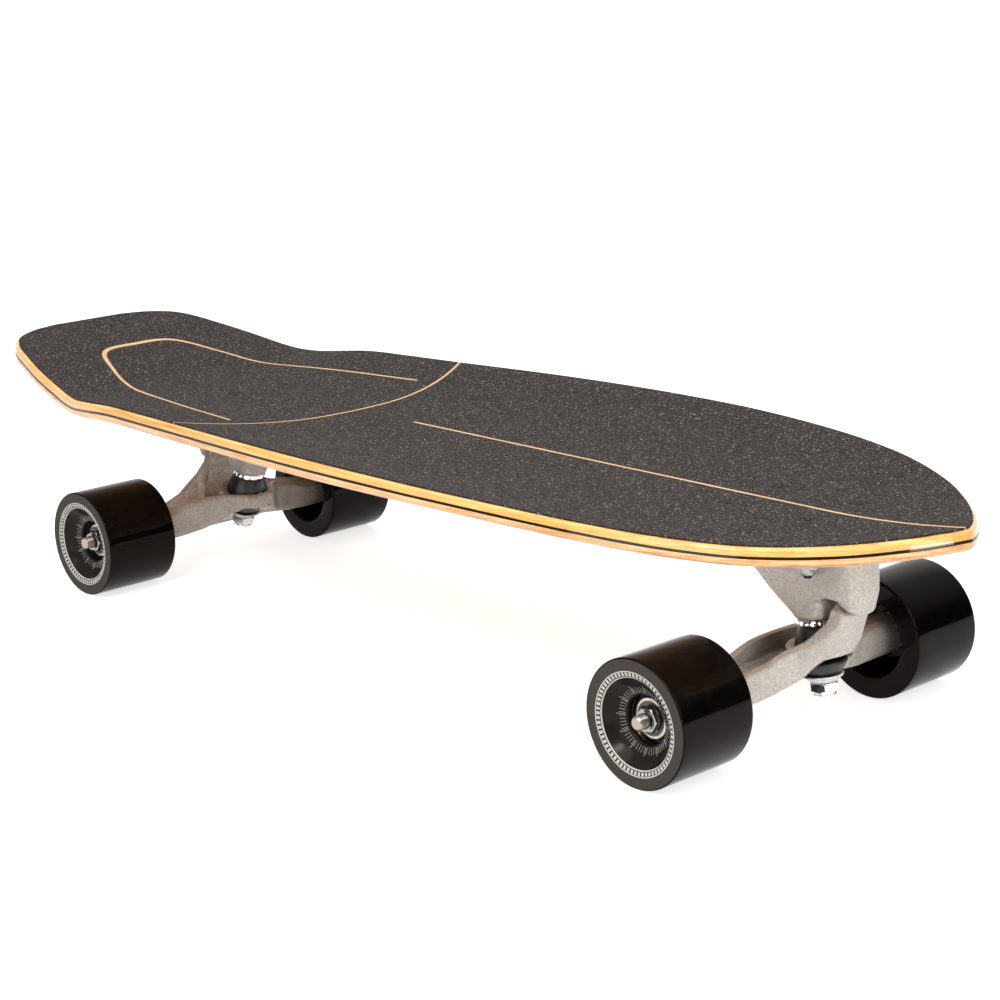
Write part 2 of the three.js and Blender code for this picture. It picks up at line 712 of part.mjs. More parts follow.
// Section of the casting at one station, point by point round it from below
function wallSection(truck, i) {
  const { lerp } = THREE.MathUtils;
  const steer = steerDirection(truck);
  const shoulder = shoulderPoint(truck);
  const seat = seatPoint(truck);
  const reach = bushingWideRadius + seatPlay + seatCupWall;
  const rise = truck.riseShares[i];
  const low = lerp(-hangerEndRadius, Math.min(-hangerEndRadius, seat.x - reach), seatShares[i]);
  const seatShare = low < -hangerEndRadius ? seatShares[i] : 0;
  const lowTop = hangerEndRadius + innerWallRise * topShares[i];
  const lowBottom = lerp(-armBottomDrop, seat.z - truck.wallDrop, seatShare);
  const topOut = lerp(hangerEndRadius - armWall / 2, shoulder.x + steer.z * neckShift, neckShares[i]);
  const topUp = lerp(hangerEndRadius, shoulder.z, rise);
  const half = (lerp(armWall, neckDepth, Math.max(0, rise)) * depthShares[i]) / 2;
  const across = new THREE.Vector3(1, 0, 0).lerp(new THREE.Vector3(steer.z, 0, -steer.x), Math.max(0, rise));
  const footOut = lerp(hangerEndRadius, truck.footOut, footShares[i]);
  const footUp = lerp(-armBottomDrop, truck.footUp, footShares[i]);
  const edge = bodyEdge;
  return [
    [low + edge, lowBottom], [0, -armBottomDrop], [footOut - edge, footUp], [footOut, footUp + edge],
    [topOut + across.x * half, topUp + across.z * half - edge / 2],
    [topOut + across.x * (half - edge / 2), topUp + across.z * (half - edge / 2)],
    [topOut - across.x * half, topUp - across.z * half],
    [footOut - armWall - edge, Math.max(troughRise, footUp)], [low + armWall + edge, troughRise],
    [low + armWall, lowTop], [low + edge, lowTop], [low, lowTop - edge], [low, lowBottom + edge],
  ];
}

function hangerRing(truck, i, side) {
  const walls = wallSection(truck, i);
  const y = (side * stationShares[i] * hangerLength) / 2;
  return armAngles.map((degrees, j) => {
    const angle = THREE.MathUtils.degToRad(degrees);
    const roundOut = hangerEndRadius * Math.cos(angle);
    const roundUp = hangerEndRadius * Math.sin(angle);
    return new THREE.Vector3(
      THREE.MathUtils.lerp(roundOut, walls[j][0], armShares[i]), y,
      THREE.MathUtils.lerp(roundUp, walls[j][1], armShares[i]),
    );
  });
}

function hangerCasting(truck) {
  const left = stationShares.map((_, i) => hangerRing(truck, i, 1)).reverse();
  const right = stationShares.slice(1).map((_, i) => hangerRing(truck, i + 1, -1));
  return loft([...left, ...right]);
}

function makeHanger(truck) {
  const onKingpin = kingpinFrame(truck);
  const seatRadius = bushingWideRadius + seatPlay;
  const swingRadius = washerRadius + swingGap;
  const webTop = webAt + seatWeb;
  const ring = cylinder(seatRadius + seatCupWall, webAt, webTop + seatCup).applyMatrix4(onKingpin);
  const nose = revolve([
    [0, -shoulderDrop - noseRootRadius], [noseRootRadius, -shoulderDrop - noseRootRadius],
    [noseRootRadius, -shoulderDrop], [noseRadius, -shoulderDrop + noseRound],
    [noseRadius, noseReach - noseRound], [noseRadius - noseRound, noseReach], [0, noseReach],
  ], ringSides).applyMatrix4(pivotFrame(truck));
  const upperPocket = cylinder(seatRadius, webTop, headAt).applyMatrix4(onKingpin);
  const lowerPocket = revolve([
    [0, webAt], [seatRadius, webAt], [seatRadius, webAt - seatCup],
    [swingRadius, lowerBushingAt], [swingRadius, -headAt], [0, -headAt],
  ], ringSides).applyMatrix4(onKingpin);
  const swingPocket = extrude(stadium(swingRadius, truck.swing), headAt)
    .translate(0, 0, webAt - pocketDrop - headAt)
    .applyMatrix4(onKingpin);
  const hole = cylinder(seatHoleRadius, 0, headAt, ringSides).applyMatrix4(onKingpin);
  const bore = cylinder(axleRadius + seatGap, -hangerLength, hangerLength, smallSides).rotateX(Math.PI / 2);
  return toGeometry(without(
    joined(toSolid(hangerCasting(truck)), toSolid(ring), toSolid(nose)),
    toSolid(upperPocket), toSolid(lowerPocket), toSolid(swingPocket), toSolid(hole), toSolid(bore),
  ));
}

function makeAxle() {
  const half = axleLength / 2;
  return revolve([
    [0, -half], [axleRadius - axleEndChamfer, -half], [axleRadius, -half + axleEndChamfer],
    [axleRadius, half - axleEndChamfer], [axleRadius - axleEndChamfer, half], [0, half],
  ], smallSides).rotateX(Math.PI / 2);
}

// Kingpin and what is stacked on it, each along the kingpin

function makeKingpin() {
  const shaft = cylinder(kingpinRadius, -kingpinEnd, headAt + kingpinHeadHeight, smallSides);
  const head = extrude(hexagon(kingpinHeadAcross), kingpinHeadHeight).translate(0, 0, headAt + seatGap);
  return toGeometry(joined(toSolid(shaft), toSolid(head)));
}

function nut(across, height, holeRadius, collarHeight) {
  const body = toSolid(extrude(hexagon(across), height - collarHeight));
  const collar = toSolid(cylinder(across * collarShare, 0, height, smallSides));
  const hole = toSolid(cylinder(holeRadius, -cutOverrun, height + cutOverrun, smallSides));
  return toGeometry(without(joined(body, collar), hole));
}

function plainNut(across, height, holeRadius) {
  const hole = toSolid(cylinder(holeRadius, -cutOverrun, height + cutOverrun, boltSides));
  return toGeometry(without(toSolid(extrude(hexagon(across), height)), hole));
}

// A cup washer, open upward
function makeWasher() {
  const hole = kingpinRadius + seatGap;
  return revolve([
    [hole, 0], [washerBase, 0], [washerRadius, washerHeight], [washerRadius - washerThickness, washerHeight],
    [washerBase - washerThickness / 2, washerThickness], [hole, washerThickness],
  ], ringSides);
}

// A bushing with its narrow end down in a cup washer
function makeBushing(height) {
  const hole = kingpinRadius + seatGap;
  const foot = washerBase - washerThickness / 2 - seatGap;
  const rim = washerRadius - washerThickness - seatGap;
  return revolve([
    [hole, 0], [foot, 0], [rim, washerHeight - washerThickness], [washerRadius - seatGap, washerHeight],
    [bushingWideRadius, height - bushingEdge], [bushingWideRadius - bushingEdge, height], [hole, height],
  ], ringSides);
}

// Wheels, along the axle with outward as +Z, from the middle of the tread

const hangerEnd = hangerLength / 2 - wheelSpacing / 2;
const speedWasherAt = hangerEnd + seatGap;
const innerBearingAt = speedWasherAt + speedWasherThickness + seatGap;
const outerBearingAt = innerBearingAt + bearingWidth + bearingSpacing;
const axleNutAt = outerBearingAt + bearingWidth + seatGap;

function makeWheel() {
  const face = wheelWidth / 2;
  const seat = bearingRadius + seatGap;
  const bowlFloor = face - bowlDepth;
  const bowl = (share) => {
    const radius = THREE.MathUtils.lerp(boreMouthRadius, faceInnerRadius, share);
    return [radius, bowlFloor + bowlDepth * (1 - Math.cos((share * Math.PI) / 2))];
  };
  const lip = wheelLip * (1 - Math.SQRT1_2);
  return revolve([
    [coreRadius, innerBearingAt + bearingWidth + seatGap], [coreRadius, outerBearingAt - seatGap],
    [seat, outerBearingAt - seatGap], [seat, bowlFloor - seatGap], bowl(0), bowl(0.5), bowl(1),
    [wheelRadius - wheelLip, face], [wheelRadius - lip, face - lip], [wheelRadius, face - wheelLip],
    [wheelRadius, -face + wheelLip], [wheelRadius - lip, -face + lip], [wheelRadius - wheelLip, -face],
    [innerOpeningRadius, -face], [innerThroatRadius, innerBearingAt - seatGap],
    [seat, innerBearingAt - seatGap], [seat, innerBearingAt + bearingWidth + seatGap],
  ], wheelSides);
}

function makeBearing() {
  const bore = axleRadius + seatGap;
  const shield = bearingWidth - bearingShieldInset;
  return revolve([
    [bore, 0], [bearingRadius, 0], [bearingRadius, bearingWidth], [bearingRadius - bearingRaceWall, bearingWidth],
    [bearingRadius - bearingShieldEdge, shield], [bore, shield],
  ], smallSides);
}

function makeSpeedWasher() {
  const bore = axleRadius + seatGap;
  return revolve([
    [bore, 0], [speedWasherRadius, 0], [speedWasherRadius, speedWasherThickness],
    [bore, speedWasherThickness],
  ], smallSides);
}

// Assembly

function wheelGroup(truckName, sideName, side) {
  const group = new THREE.Group();
  group.position.set(0, (side * wheelSpacing) / 2, 0);
  group.rotation.x = (-side * Math.PI) / 2;
  const name = `${truckName}_${sideName}`;
  const outerBearing = piece(`${name}_outer_bearing`, makeBearing(), "steel");
  outerBearing.position.z = outerBearingAt;
  const innerBearing = piece(`${name}_inner_bearing`, makeBearing(), "steel");
  innerBearing.rotation.x = Math.PI;
  innerBearing.position.z = innerBearingAt + bearingWidth;
  const speedWasher = piece(`${name}_speed_washer`, makeSpeedWasher(), "steel");
  speedWasher.position.z = speedWasherAt;
  const axleNut = piece(
    `${name}_axle_nut`, nut(axleNutAcross, axleNutHeight, axleRadius + seatGap, nutCollar), "steel",
  );
  axleNut.position.z = axleNutAt;
  group.add(piece(`${name}_wheel`, makeWheel(), "urethane"), outerBearing, innerBearing, speedWasher, axleNut);
  return group;
}

function kingpinGroup(name, truck) {
  const group = new THREE.Group();
  kingpinFrame(truck).decompose(group.position, group.quaternion, group.scale);
  const kingpinNut = nut(kingpinNutAcross, kingpinNutHeight, kingpinRadius + seatGap, nutCollar);
  kingpinNut.rotateX(Math.PI).translate(0, 0, kingpinNutHeight);
  const lowerWasher = piece(`${name}_lower_washer`, makeWasher(), "steel");
  lowerWasher.position.z = lowerWasherAt;
  const upperWasher = piece(`${name}_upper_washer`, makeWasher(), "steel");
  upperWasher.rotation.x = Math.PI;
  upperWasher.position.z = upperWasherAt + washerThickness;
  const lowerBushing = piece(`${name}_lower_bushing`, makeBushing(lowerBushingHeight), "bushing");
  lowerBushing.position.z = lowerBushingAt;
  const upperBushing = piece(`${name}_upper_bushing`, makeBushing(upperBushingHeight), "bushing");
  upperBushing.rotation.x = Math.PI;
  upperBushing.position.z = upperBushingAt + upperBushingHeight;
  group.add(
    piece(`${name}_kingpin`, makeKingpin(), "steel"), piece(`${name}_kingpin_nut`, kingpinNut, "steel"),
    lowerWasher, upperWasher, lowerBushing, upperBushing,
  );
  return group;
}

function truckGroup(name, truck) {
  const group = new THREE.Group();
  group.position.set(axleX(truck), 0, wheelRadius);
  group.rotation.z = truck.turn;
  const cupGroup = new THREE.Group();
  pivotFrame(truck).decompose(cupGroup.position, cupGroup.quaternion, cupGroup.scale);
  cupGroup.add(piece(`${name}_pivot_cup`, makePivotCup(), "cup"));
  group.add(
    piece(`${name}_baseplate`, makeBaseplate(truck), "cast"), piece(`${name}_hanger`, makeHanger(truck), "cast"),
    piece(`${name}_axle`, makeAxle(), "steel"), cupGroup, kingpinGroup(name, truck),
  );
  return group;
}

// Wheels stay outside the turned truck group, so that left is left on both trucks
function wheelPair(name, truck) {
  const group = new THREE.Group();
  group.position.set(axleX(truck), 0, wheelRadius);
  for (const [sideName, side] of Object.entries(sides)) {
    group.add(wheelGroup(name, sideName, side));
  }
  return group;
}

function boltGroup(name, truck) {
  const group = new THREE.Group();
  for (const place of boltPlaces(truck)) {
    const top = deckTop(place.x, place.y) + gripThickness + seatGap;
    const bolt = revolve([
      [0, -boltLength], [boltRadius, -boltLength], [boltRadius, -boltHeadDepth], [boltHeadRadius, 0], [0, 0],
    ], boltSides);
    const boltMesh = piece(`${name}_bolt_${place.name}`, bolt, "darkSteel");
    boltMesh.position.set(place.x, place.y, top);
    const nutMesh = piece(
      `${name}_bolt_nut_${place.name}`,
      plainNut(boltNutAcross, boltNutHeight, boltRadius + seatGap), "steel",
    );
    nutMesh.rotation.x = Math.PI;
    nutMesh.position.set(place.x, place.y, wheelRadius + plateLow - seatGap);
    group.add(boltMesh, nutMesh);
  }
  return group;
}

const board = new THREE.Group();
board.add(
  piece("deck", makeDeck(), "maple"),
  piece("grip_front", makeFrontGrip(), "grip"),
  piece("grip_rear", makeRearGrip(), "grip"),
);
for (const [name, truck] of Object.entries(trucks)) {
  board.add(truckGroup(name, truck), wheelPair(name, truck), boltGroup(name, truck));
}

export default board;
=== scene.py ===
import math

import bmesh
import bpy
import numpy as np
from mathutils import Matrix, Vector
from mathutils.bvhtree import BVHTree


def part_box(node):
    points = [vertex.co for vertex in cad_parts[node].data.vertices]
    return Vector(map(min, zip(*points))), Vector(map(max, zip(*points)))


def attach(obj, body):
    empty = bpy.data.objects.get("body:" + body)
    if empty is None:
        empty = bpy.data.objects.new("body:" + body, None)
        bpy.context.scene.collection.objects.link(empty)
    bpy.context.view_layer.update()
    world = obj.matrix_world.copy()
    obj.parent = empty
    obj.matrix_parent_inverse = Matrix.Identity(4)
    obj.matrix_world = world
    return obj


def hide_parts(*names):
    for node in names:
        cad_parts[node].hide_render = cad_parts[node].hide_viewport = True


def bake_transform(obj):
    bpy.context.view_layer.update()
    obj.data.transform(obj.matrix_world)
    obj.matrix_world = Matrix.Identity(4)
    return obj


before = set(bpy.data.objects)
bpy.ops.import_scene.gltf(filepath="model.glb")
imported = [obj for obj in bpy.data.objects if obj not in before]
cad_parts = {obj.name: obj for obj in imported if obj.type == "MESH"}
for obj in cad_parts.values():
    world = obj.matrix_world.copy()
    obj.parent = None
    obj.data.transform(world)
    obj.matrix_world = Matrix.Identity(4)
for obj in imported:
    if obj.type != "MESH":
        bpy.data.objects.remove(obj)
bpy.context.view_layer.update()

mm = 0.001
tiny = 1e-9  # m, shorter than any real edge
sides = {"left": 1, "right": -1}
trucks = {"front": 1, "rear": -1}  # which way is outward along the board


# Shader maths: a socket that can stand in a Python expression

class Wire:
    def __init__(self, nodes, socket):
        self.nodes = nodes
        self.socket = socket

    def maths(self, operation, *others, clamp=False):
        return self.nodes.node("ShaderNodeMath", {"operation": operation, "use_clamp": clamp},
                               dict(enumerate([self, *others])))

    def __add__(self, other):
        return self.maths("ADD", other)

    def __sub__(self, other):
        return self.maths("SUBTRACT", other)

    def __rsub__(self, other):
        return (self * -1) + other

    def __mul__(self, other):
        return self.maths("MULTIPLY", other)

    def __truediv__(self, other):
        return self.maths("DIVIDE", other)

    __radd__ = __add__
    __rmul__ = __mul__

    def clamped(self, sharpness=1):
        return self.maths("MULTIPLY", sharpness, clamp=True)

    def ramp(self, *stops):
        return self.nodes.node("ShaderNodeValToRGB", {"stops": stops}, {"Fac": self})

    def spread(self, low, high, newLow=0, newHigh=1):
        sockets = {"Value": self, "From Min": low, "From Max": high, "To Min": newLow, "To Max": newHigh}
        return self.nodes.node("ShaderNodeMapRange", {}, sockets)


# A node tree whose nodes all come from one method, each as a wire from one of its outputs
class Nodes:
    def __init__(self, tree):
        self.tree = tree

    def node(self, kind, settings=None, sockets=None, out=0):
        made = self.tree.nodes.new(kind)
        for setting, value in (settings or {}).items():
            if setting == "stops":
                fillRamp(made.color_ramp, value)
            else:
                setattr(made, setting, value)
        for socket, value in (sockets or {}).items():
            self.plug(made.inputs[socket], value)
        return Wire(self, made.outputs[out]) if made.outputs else None

    def plug(self, socket, value):
        if isinstance(value, Wire):
            self.tree.links.new(value.socket, socket)
        else:
            socket.default_value = value


# One material: fixed numbers go straight on the shader, patterns come in as wires
class Paint(Nodes):
    def __init__(self, name, fixed):
        self.material = bpy.data.materials.new(name)
        self.material.use_nodes = True
        super().__init__(self.material.node_tree)
        self.shader = self.tree.nodes["Principled BSDF"]
        for socket, value in fixed.items():
            self.shader.inputs[socket].default_value = value

    def feed(self, wires):
        for socket, wire in wires.items():
            self.plug(self.shader.inputs[socket], wire)
        return self.material

    def place(self, stretch=(1, 1, 1)):
        coords = self.node("ShaderNodeTexCoord", out="Object")
        return self.node("ShaderNodeMapping", {}, {"Vector": coords, "Scale": stretch})

    def noise(self, size, detail=2, roughness=0.5, stretch=(1, 1, 1)):
        sockets = {"Vector": self.place(stretch), "Scale": 1 / size, "Detail": detail, "Roughness": roughness}
        return self.node("ShaderNodeTexNoise", {"noise_dimensions": "3D"}, sockets)

    def cells(self, size, out="Distance"):
        return self.node("ShaderNodeTexVoronoi", {}, {"Vector": self.place(), "Scale": 1 / size}, out)

    def attribute(self, name):
        return self.node("ShaderNodeAttribute", {"attribute_name": name}, out="Fac")

    def mix(self, share, first, second, blend="MIX"):
        settings = {"data_type": "RGBA", "blend_type": blend}
        return self.node("ShaderNodeMix", settings, {0: share, 6: first, 7: second}, 2)  # its colour sockets

    def bump(self, height, distance, strength):
        return self.node("ShaderNodeBump", {}, {"Height": height, "Distance": distance, "Strength": strength})


# A Geometry Nodes tree with named inputs, which ends as one real mesh with one material
class ShapeTree(Nodes):
    def __init__(self, name, inputs):
        super().__init__(bpy.data.node_groups.new(name, "GeometryNodeTree"))
        self.identifiers = {}
        for label, kind in {"Geometry": "Geometry", **inputs, "Finish": "Material"}.items():
            socket = self.tree.interface.new_socket(label, in_out="INPUT", socket_type=f"NodeSocket{kind}")
            self.identifiers[label] = socket.identifier
        self.tree.interface.new_socket("Geometry", in_out="OUTPUT", socket_type="NodeSocketGeometry")
        self.source = self.tree.nodes.new("NodeGroupInput")

    def given(self, label):
        return Wire(self, self.source.outputs[label])

    def end(self, copies):
        real = self.node("GeometryNodeRealizeInstances", {}, {0: copies})
        sockets = {"Geometry": real, "Material": self.given("Finish")}
        self.node("NodeGroupOutput", {}, {0: self.node("GeometryNodeSetMaterial", {}, sockets)})

    def runOn(self, piece, values):
        step = piece.modifiers.new("shape", "NODES")
        step.node_group = self.tree
        for label, value in values.items():
            step[self.identifiers[label]] = value
        bakeModifiers(piece)


def fillRamp(ramp, stops):
    while len(ramp.elements) < len(stops):
        ramp.elements.new(0.5)
    for element, (place, colour) in zip(ramp.elements, stops):
        element.position = place
        element.color = colour if len(colour) == 4 else (*colour, 1)


def grey(level):
    return (level, level, level, 1)


def shades(tint, shares):
    return [tuple(min(c * share, 1) for c in tint) for share in shares]


def bakeModifiers(piece):
    graph = bpy.context.evaluated_depsgraph_get()
    baked = bpy.data.meshes.new_from_object(piece.evaluated_get(graph))
    piece.modifiers.clear()
    piece.data = baked


# Mesh helpers: parts are pairs of points in metres and faces

def meshPiece(name, parts, material, sharp=32, layers=None):
    points = []
    faces = []
    for corners, polygons in parts:
        start = len(points)
        points.extend(map(tuple, corners))
        faces.extend([tuple(start + i for i in face) for face in polygons])
    mesh = bpy.data.meshes.new(name)
    mesh.from_pydata(points, [], faces)
    for layer, values in (layers or {}).items():
        mesh.attributes.new(layer, "FLOAT", "POINT").data.foreach_set("value", np.asarray(values, np.float32))
    mesh.validate()
    mesh.shade_smooth()
    mesh.set_sharp_from_angle(angle=math.radians(sharp))
    mesh.materials.append(material)
    piece = bpy.data.objects.new(name, mesh)
    bpy.context.scene.collection.objects.link(piece)
    return piece


# Turns a closed profile of (radius, height) about Z; limit can hold the radius inside another shape
def turned(profile, facets=96, limit=None):
    radii = np.array([p[0] for p in profile], float)
    heights = np.array([p[1] for p in profile], float)
    angles = np.arange(facets) * 2 * math.pi / facets
    area = np.sum(radii * np.roll(heights, -1) - np.roll(radii, -1) * heights)
    if area < 0:
        radii = radii[::-1]
        heights = heights[::-1]
    points = []
    rows = []
    for r, h in zip(radii, heights):
        if r < tiny:
            rows.append([len(points)] * facets)
            points.append((0, 0, h))
            continue
        ring = np.full(facets, r)
        if limit is not None:
            ring = limit(angles, ring, h)
        rows.append(list(range(len(points), len(points) + facets)))
        points.extend(zip(ring * np.cos(angles), ring * np.sin(angles), np.full(facets, h)))
    faces = []
    for low, high in zip(rows, rows[1:] + rows[:1]):
        for j in range(facets):
            k = (j + 1) % facets
            face = list(dict.fromkeys([low[j], low[k], high[k], high[j]]))
            if len(face) > 2:
                faces.append(face)
    return np.array(points), faces


def boxPart(size):
    units = np.array([(x, y, z) for x in (-1, 1) for y in (-1, 1) for z in (-1, 1)])
    faces = [(0, 1, 3, 2), (4, 6, 7, 5), (0, 4, 5, 1), (2, 3, 7, 6), (0, 2, 6, 4), (1, 5, 7, 3)]
    return units * np.array(size) / 2, faces


def placed(part, matrix):
    points, faces = part
    m = np.array(matrix)
    moved = points @ m[:3, :3].T + m[:3, 3]
    if np.linalg.det(m[:3, :3]) < 0:
        faces = [list(reversed(face)) for face in faces]
    return moved, faces


def hexLimit(across):
    def limit(angles, ring, height):
        offset = np.mod(angles + math.pi / 6, math.pi / 3) - math.pi / 6
        return np.minimum(ring, across / 2 / np.cos(offset))
    return limit


# A screw thread: the radius swings with the height and the angle
def threadLimit(pitch, depth, low, high):
    def limit(angles, ring, height):
        if not low <= height <= high:
            return ring
        phase = np.mod(height / pitch + angles / (2 * math.pi), 1)
        return ring - depth * np.abs(phase * 2 - 1)
    return limit


def rounded(start, corner, end, steps=4):
    line = []
    for i in range(steps + 1):
        t = i / steps
        line.append(tuple(
            (1 - t) ** 2 * start[k] + 2 * t * (1 - t) * corner[k] + t ** 2 * end[k] for k in range(2)
        ))
    return line


# 0 up to the start, 1 from the end on, and a soft S between them
def eased(value, start, end):
    share = np.clip((value - start) / (end - start), 0, 1)
    return share * share * (3 - 2 * share)


def meshPoints(mesh):
    points = np.zeros(len(mesh.vertices) * 3)
    mesh.vertices.foreach_get("co", points)
    return points.reshape(-1, 3)


def movePoints(mesh, points):
    mesh.vertices.foreach_set("co", points.ravel())
    mesh.update()


# Where things are, read from the CAD nodes

def nodePoints(node):
    return meshPoints(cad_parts[node].data)


def stretchAlong(node, origin, direction):
    along = (nodePoints(node) - np.array(origin)) @ np.array(direction)
    return along.min(), along.max()


def axisFrame(origin, direction):
    turn = Vector(direction).to_track_quat("Z", "X").to_matrix().to_4x4()
    return Matrix.Translation(Vector(origin)) @ turn


def kingpinAxis(truck):
    points = nodePoints(f"{truck}_kingpin")
    middle = points.mean(0)
    _, _, directions = np.linalg.svd(points - middle)
    direction = directions[0] if directions[0][2] > 0 else -directions[0]
    return middle, direction


print("frame loaded:", len(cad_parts), "nodes")


# Materials

# A noise here is its size, detail, roughness and stretch, a spread is a pattern's low and high and what they
# become, and a bump is its depth and strength

mapleLook = {
    "coatRough": 0.05, "specular": 0.2, "layers": (1.1 * mm, 3, 0.6, (0.03, 0.06, 1)),
    "fibres": (1.6 * mm, 4, 0.62, (0.03, 0.3, 0.2)), "fibreShare": 0.3,
    "flecks": (0.7 * mm, 2, 0.5, (0.03, 1, 1)), "broad": (30 * mm, 2, 0.5, (0.25, 1, 1)),
    "golden": ((0.38, (0.62, 0.28, 0.06)), (0.5, (0.83, 0.43, 0.115)), (0.62, (0.93, 0.56, 0.19))),
    "tan": ((0.38, (0.60, 0.26, 0.085)), (0.5, (0.82, 0.44, 0.19)), (0.62, (0.91, 0.55, 0.28))),
    "pale": (0.93, 0.57, 0.21, 1), "warm": (0.76, 0.35, 0.075, 1), "glue": (0.50, 0.24, 0.08, 1),
    "black": (0.003, 0.0025, 0.0025, 1), "paleSpread": (0.35, 0.75, 0, 0.5), "warmShare": 0.4,
    "warmTop": 2.6, "blackTop": 4.6, "blackBottom": 6.3, "glueLine": 2.3,  # mm under the deck's top
    "wander": (20 * mm, 1), "wanderDepth": 0.15, "glueShare": 0.35, "glueSharpness": 6, "plySharpness": 8,
    "rough": (0.3, 0.7, 0.34, 0.5), "shine": 0.75, "shineLoss": 0.2, "bump": (0.03 * mm, 0.5),
}


# The deck's edge: golden plies, one black ply and tan plies under it
def makeMaple(name):
    look = mapleLook
    paint = Paint(name, {"Coat Roughness": look["coatRough"], "Specular IOR Level": look["specular"]})
    depth = paint.attribute("depth") / mm
    fibres = paint.noise(*look["fibres"]) * look["fibreShare"]
    grain = paint.noise(*look["layers"]) * (1 - look["fibreShare"]) + fibres
    golden = grain.ramp(*look["golden"])
    golden = paint.mix(paint.noise(*look["broad"]).spread(*look["paleSpread"]), golden, look["pale"])
    warm = depth.spread(look["warmTop"], look["blackTop"], 0, look["warmShare"])
    golden = paint.mix(warm, golden, look["warm"])
    wander = look["wanderDepth"]
    blackTop = paint.noise(*look["wander"]).spread(0, 1, look["blackTop"] - wander, look["blackTop"] + wander)
    under = (depth - blackTop).clamped(look["plySharpness"])
    black = under * (look["blackBottom"] - depth).clamped(look["plySharpness"])
    low = (depth - look["blackBottom"]).clamped(look["plySharpness"])
    glue = ((depth - look["glueLine"]).maths("ABSOLUTE") * -look["glueSharpness"] + 1).clamped()
    colour = paint.mix(glue * look["glueShare"], golden, look["glue"])
    colour = paint.mix(low, colour, grain.ramp(*look["tan"]))
    return paint.feed({
        "Base Color": paint.mix(black, colour, look["black"]),
        "Roughness": paint.noise(*look["flecks"]).spread(*look["rough"]),
        "Coat Weight": look["shine"] - black * look["shineLoss"],
        "Normal": paint.bump(grain, *look["bump"]),
    })


bareLook = {
    "rough": 0.5, "grain": (1.2 * mm, 3, 0.6, (0.05, 1, 1)), "broad": (20 * mm, 2, 0.5, (0.3, 1, 1)),
    "pale": ((0.3, (0.55, 0.32, 0.13)), (0.55, (0.68, 0.42, 0.19)), (0.8, (0.78, 0.52, 0.26))),
    "cloud": (0.56, 0.32, 0.13, 1), "cloudSpread": (0.4, 0.7, 0, 0.35), "bump": (0.04 * mm, 0.5),
}


# The bare wood that shows between the grip sheets
def makeBareMaple(name):
    look = bareLook
    paint = Paint(name, {"Roughness": look["rough"]})
    grain = paint.noise(*look["grain"])
    cloud = paint.noise(*look["broad"]).spread(*look["cloudSpread"])
    return paint.feed({"Base Color": paint.mix(cloud, grain.ramp(*look["pale"]), look["cloud"]),
                       "Normal": paint.bump(grain, *look["bump"])})


gripLook = {
    "specular": 0.22, "grains": 0.75 * mm, "dust": (20 * mm, 4, 0.6), "fine": (0.9 * mm, 3, 0.7),
    "tones": ((0.0, 0.006), (0.5, 0.025), (0.88, 0.052), (0.965, 0.08), (0.992, 0.27)),  # the last few glint
    "warm": (1.18, 0.97, 0.87, 1), "dustTone": (0.052, 0.042, 0.037, 1), "dustSpread": (0.4, 0.75, 0, 0.25),
    "fineShare": 0.6, "rough": (0.9, 1, 0.95, 0.6), "bump": (0.25 * mm, 0.6),
}


def makeGrip(name):
    look = gripLook
    paint = Paint(name, {"Specular IOR Level": look["specular"]})
    level = paint.node("ShaderNodeSeparateColor", {}, {"Color": paint.cells(look["grains"], "Color")})
    dark = level.ramp(*((place, grey(tone)) for place, tone in look["tones"]))
    warm = paint.mix(1.0, dark, look["warm"], "MULTIPLY")
    dust = paint.noise(*look["dust"]).spread(*look["dustSpread"])
    height = paint.noise(*look["fine"]) * look["fineShare"] + level * (1 - look["fineShare"])
    return paint.feed({
        "Base Color": paint.mix(dust, warm, look["dustTone"]),
        "Roughness": level.spread(*look["rough"]),
        "Normal": paint.bump(height, *look["bump"]),
    })


castLook = {
    "metal": 0.6, "grit": (0.6 * mm, 3, 0.8), "blotch": (1.5 * mm, 4, 0.75), "cloud": (20 * mm, 2, 0.5),
    "pits": 1.4 * mm, "stops": (0.3, 0.5, 0.7), "lightShare": 1.2, "cloudSpread": (0.35, 0.7, 0, 0.3),
    "hollowLightSpread": (0.08, 0.35), "speckSpread": (0.34, 0.46, 0.5, 0), "speck": (0.15, 0.13, 0.11, 1),
    "hollowShade": (0.040, 0.028, 0.020, 1), "hollowShadeShare": 0.95, "hollowShadePatch": 0.25,
    "relief": (0.6, 0.8, 0.3), "rough": (0.3, 0.7, 0.62, 0.42), "bump": (0.55 * mm, 0.7),
}


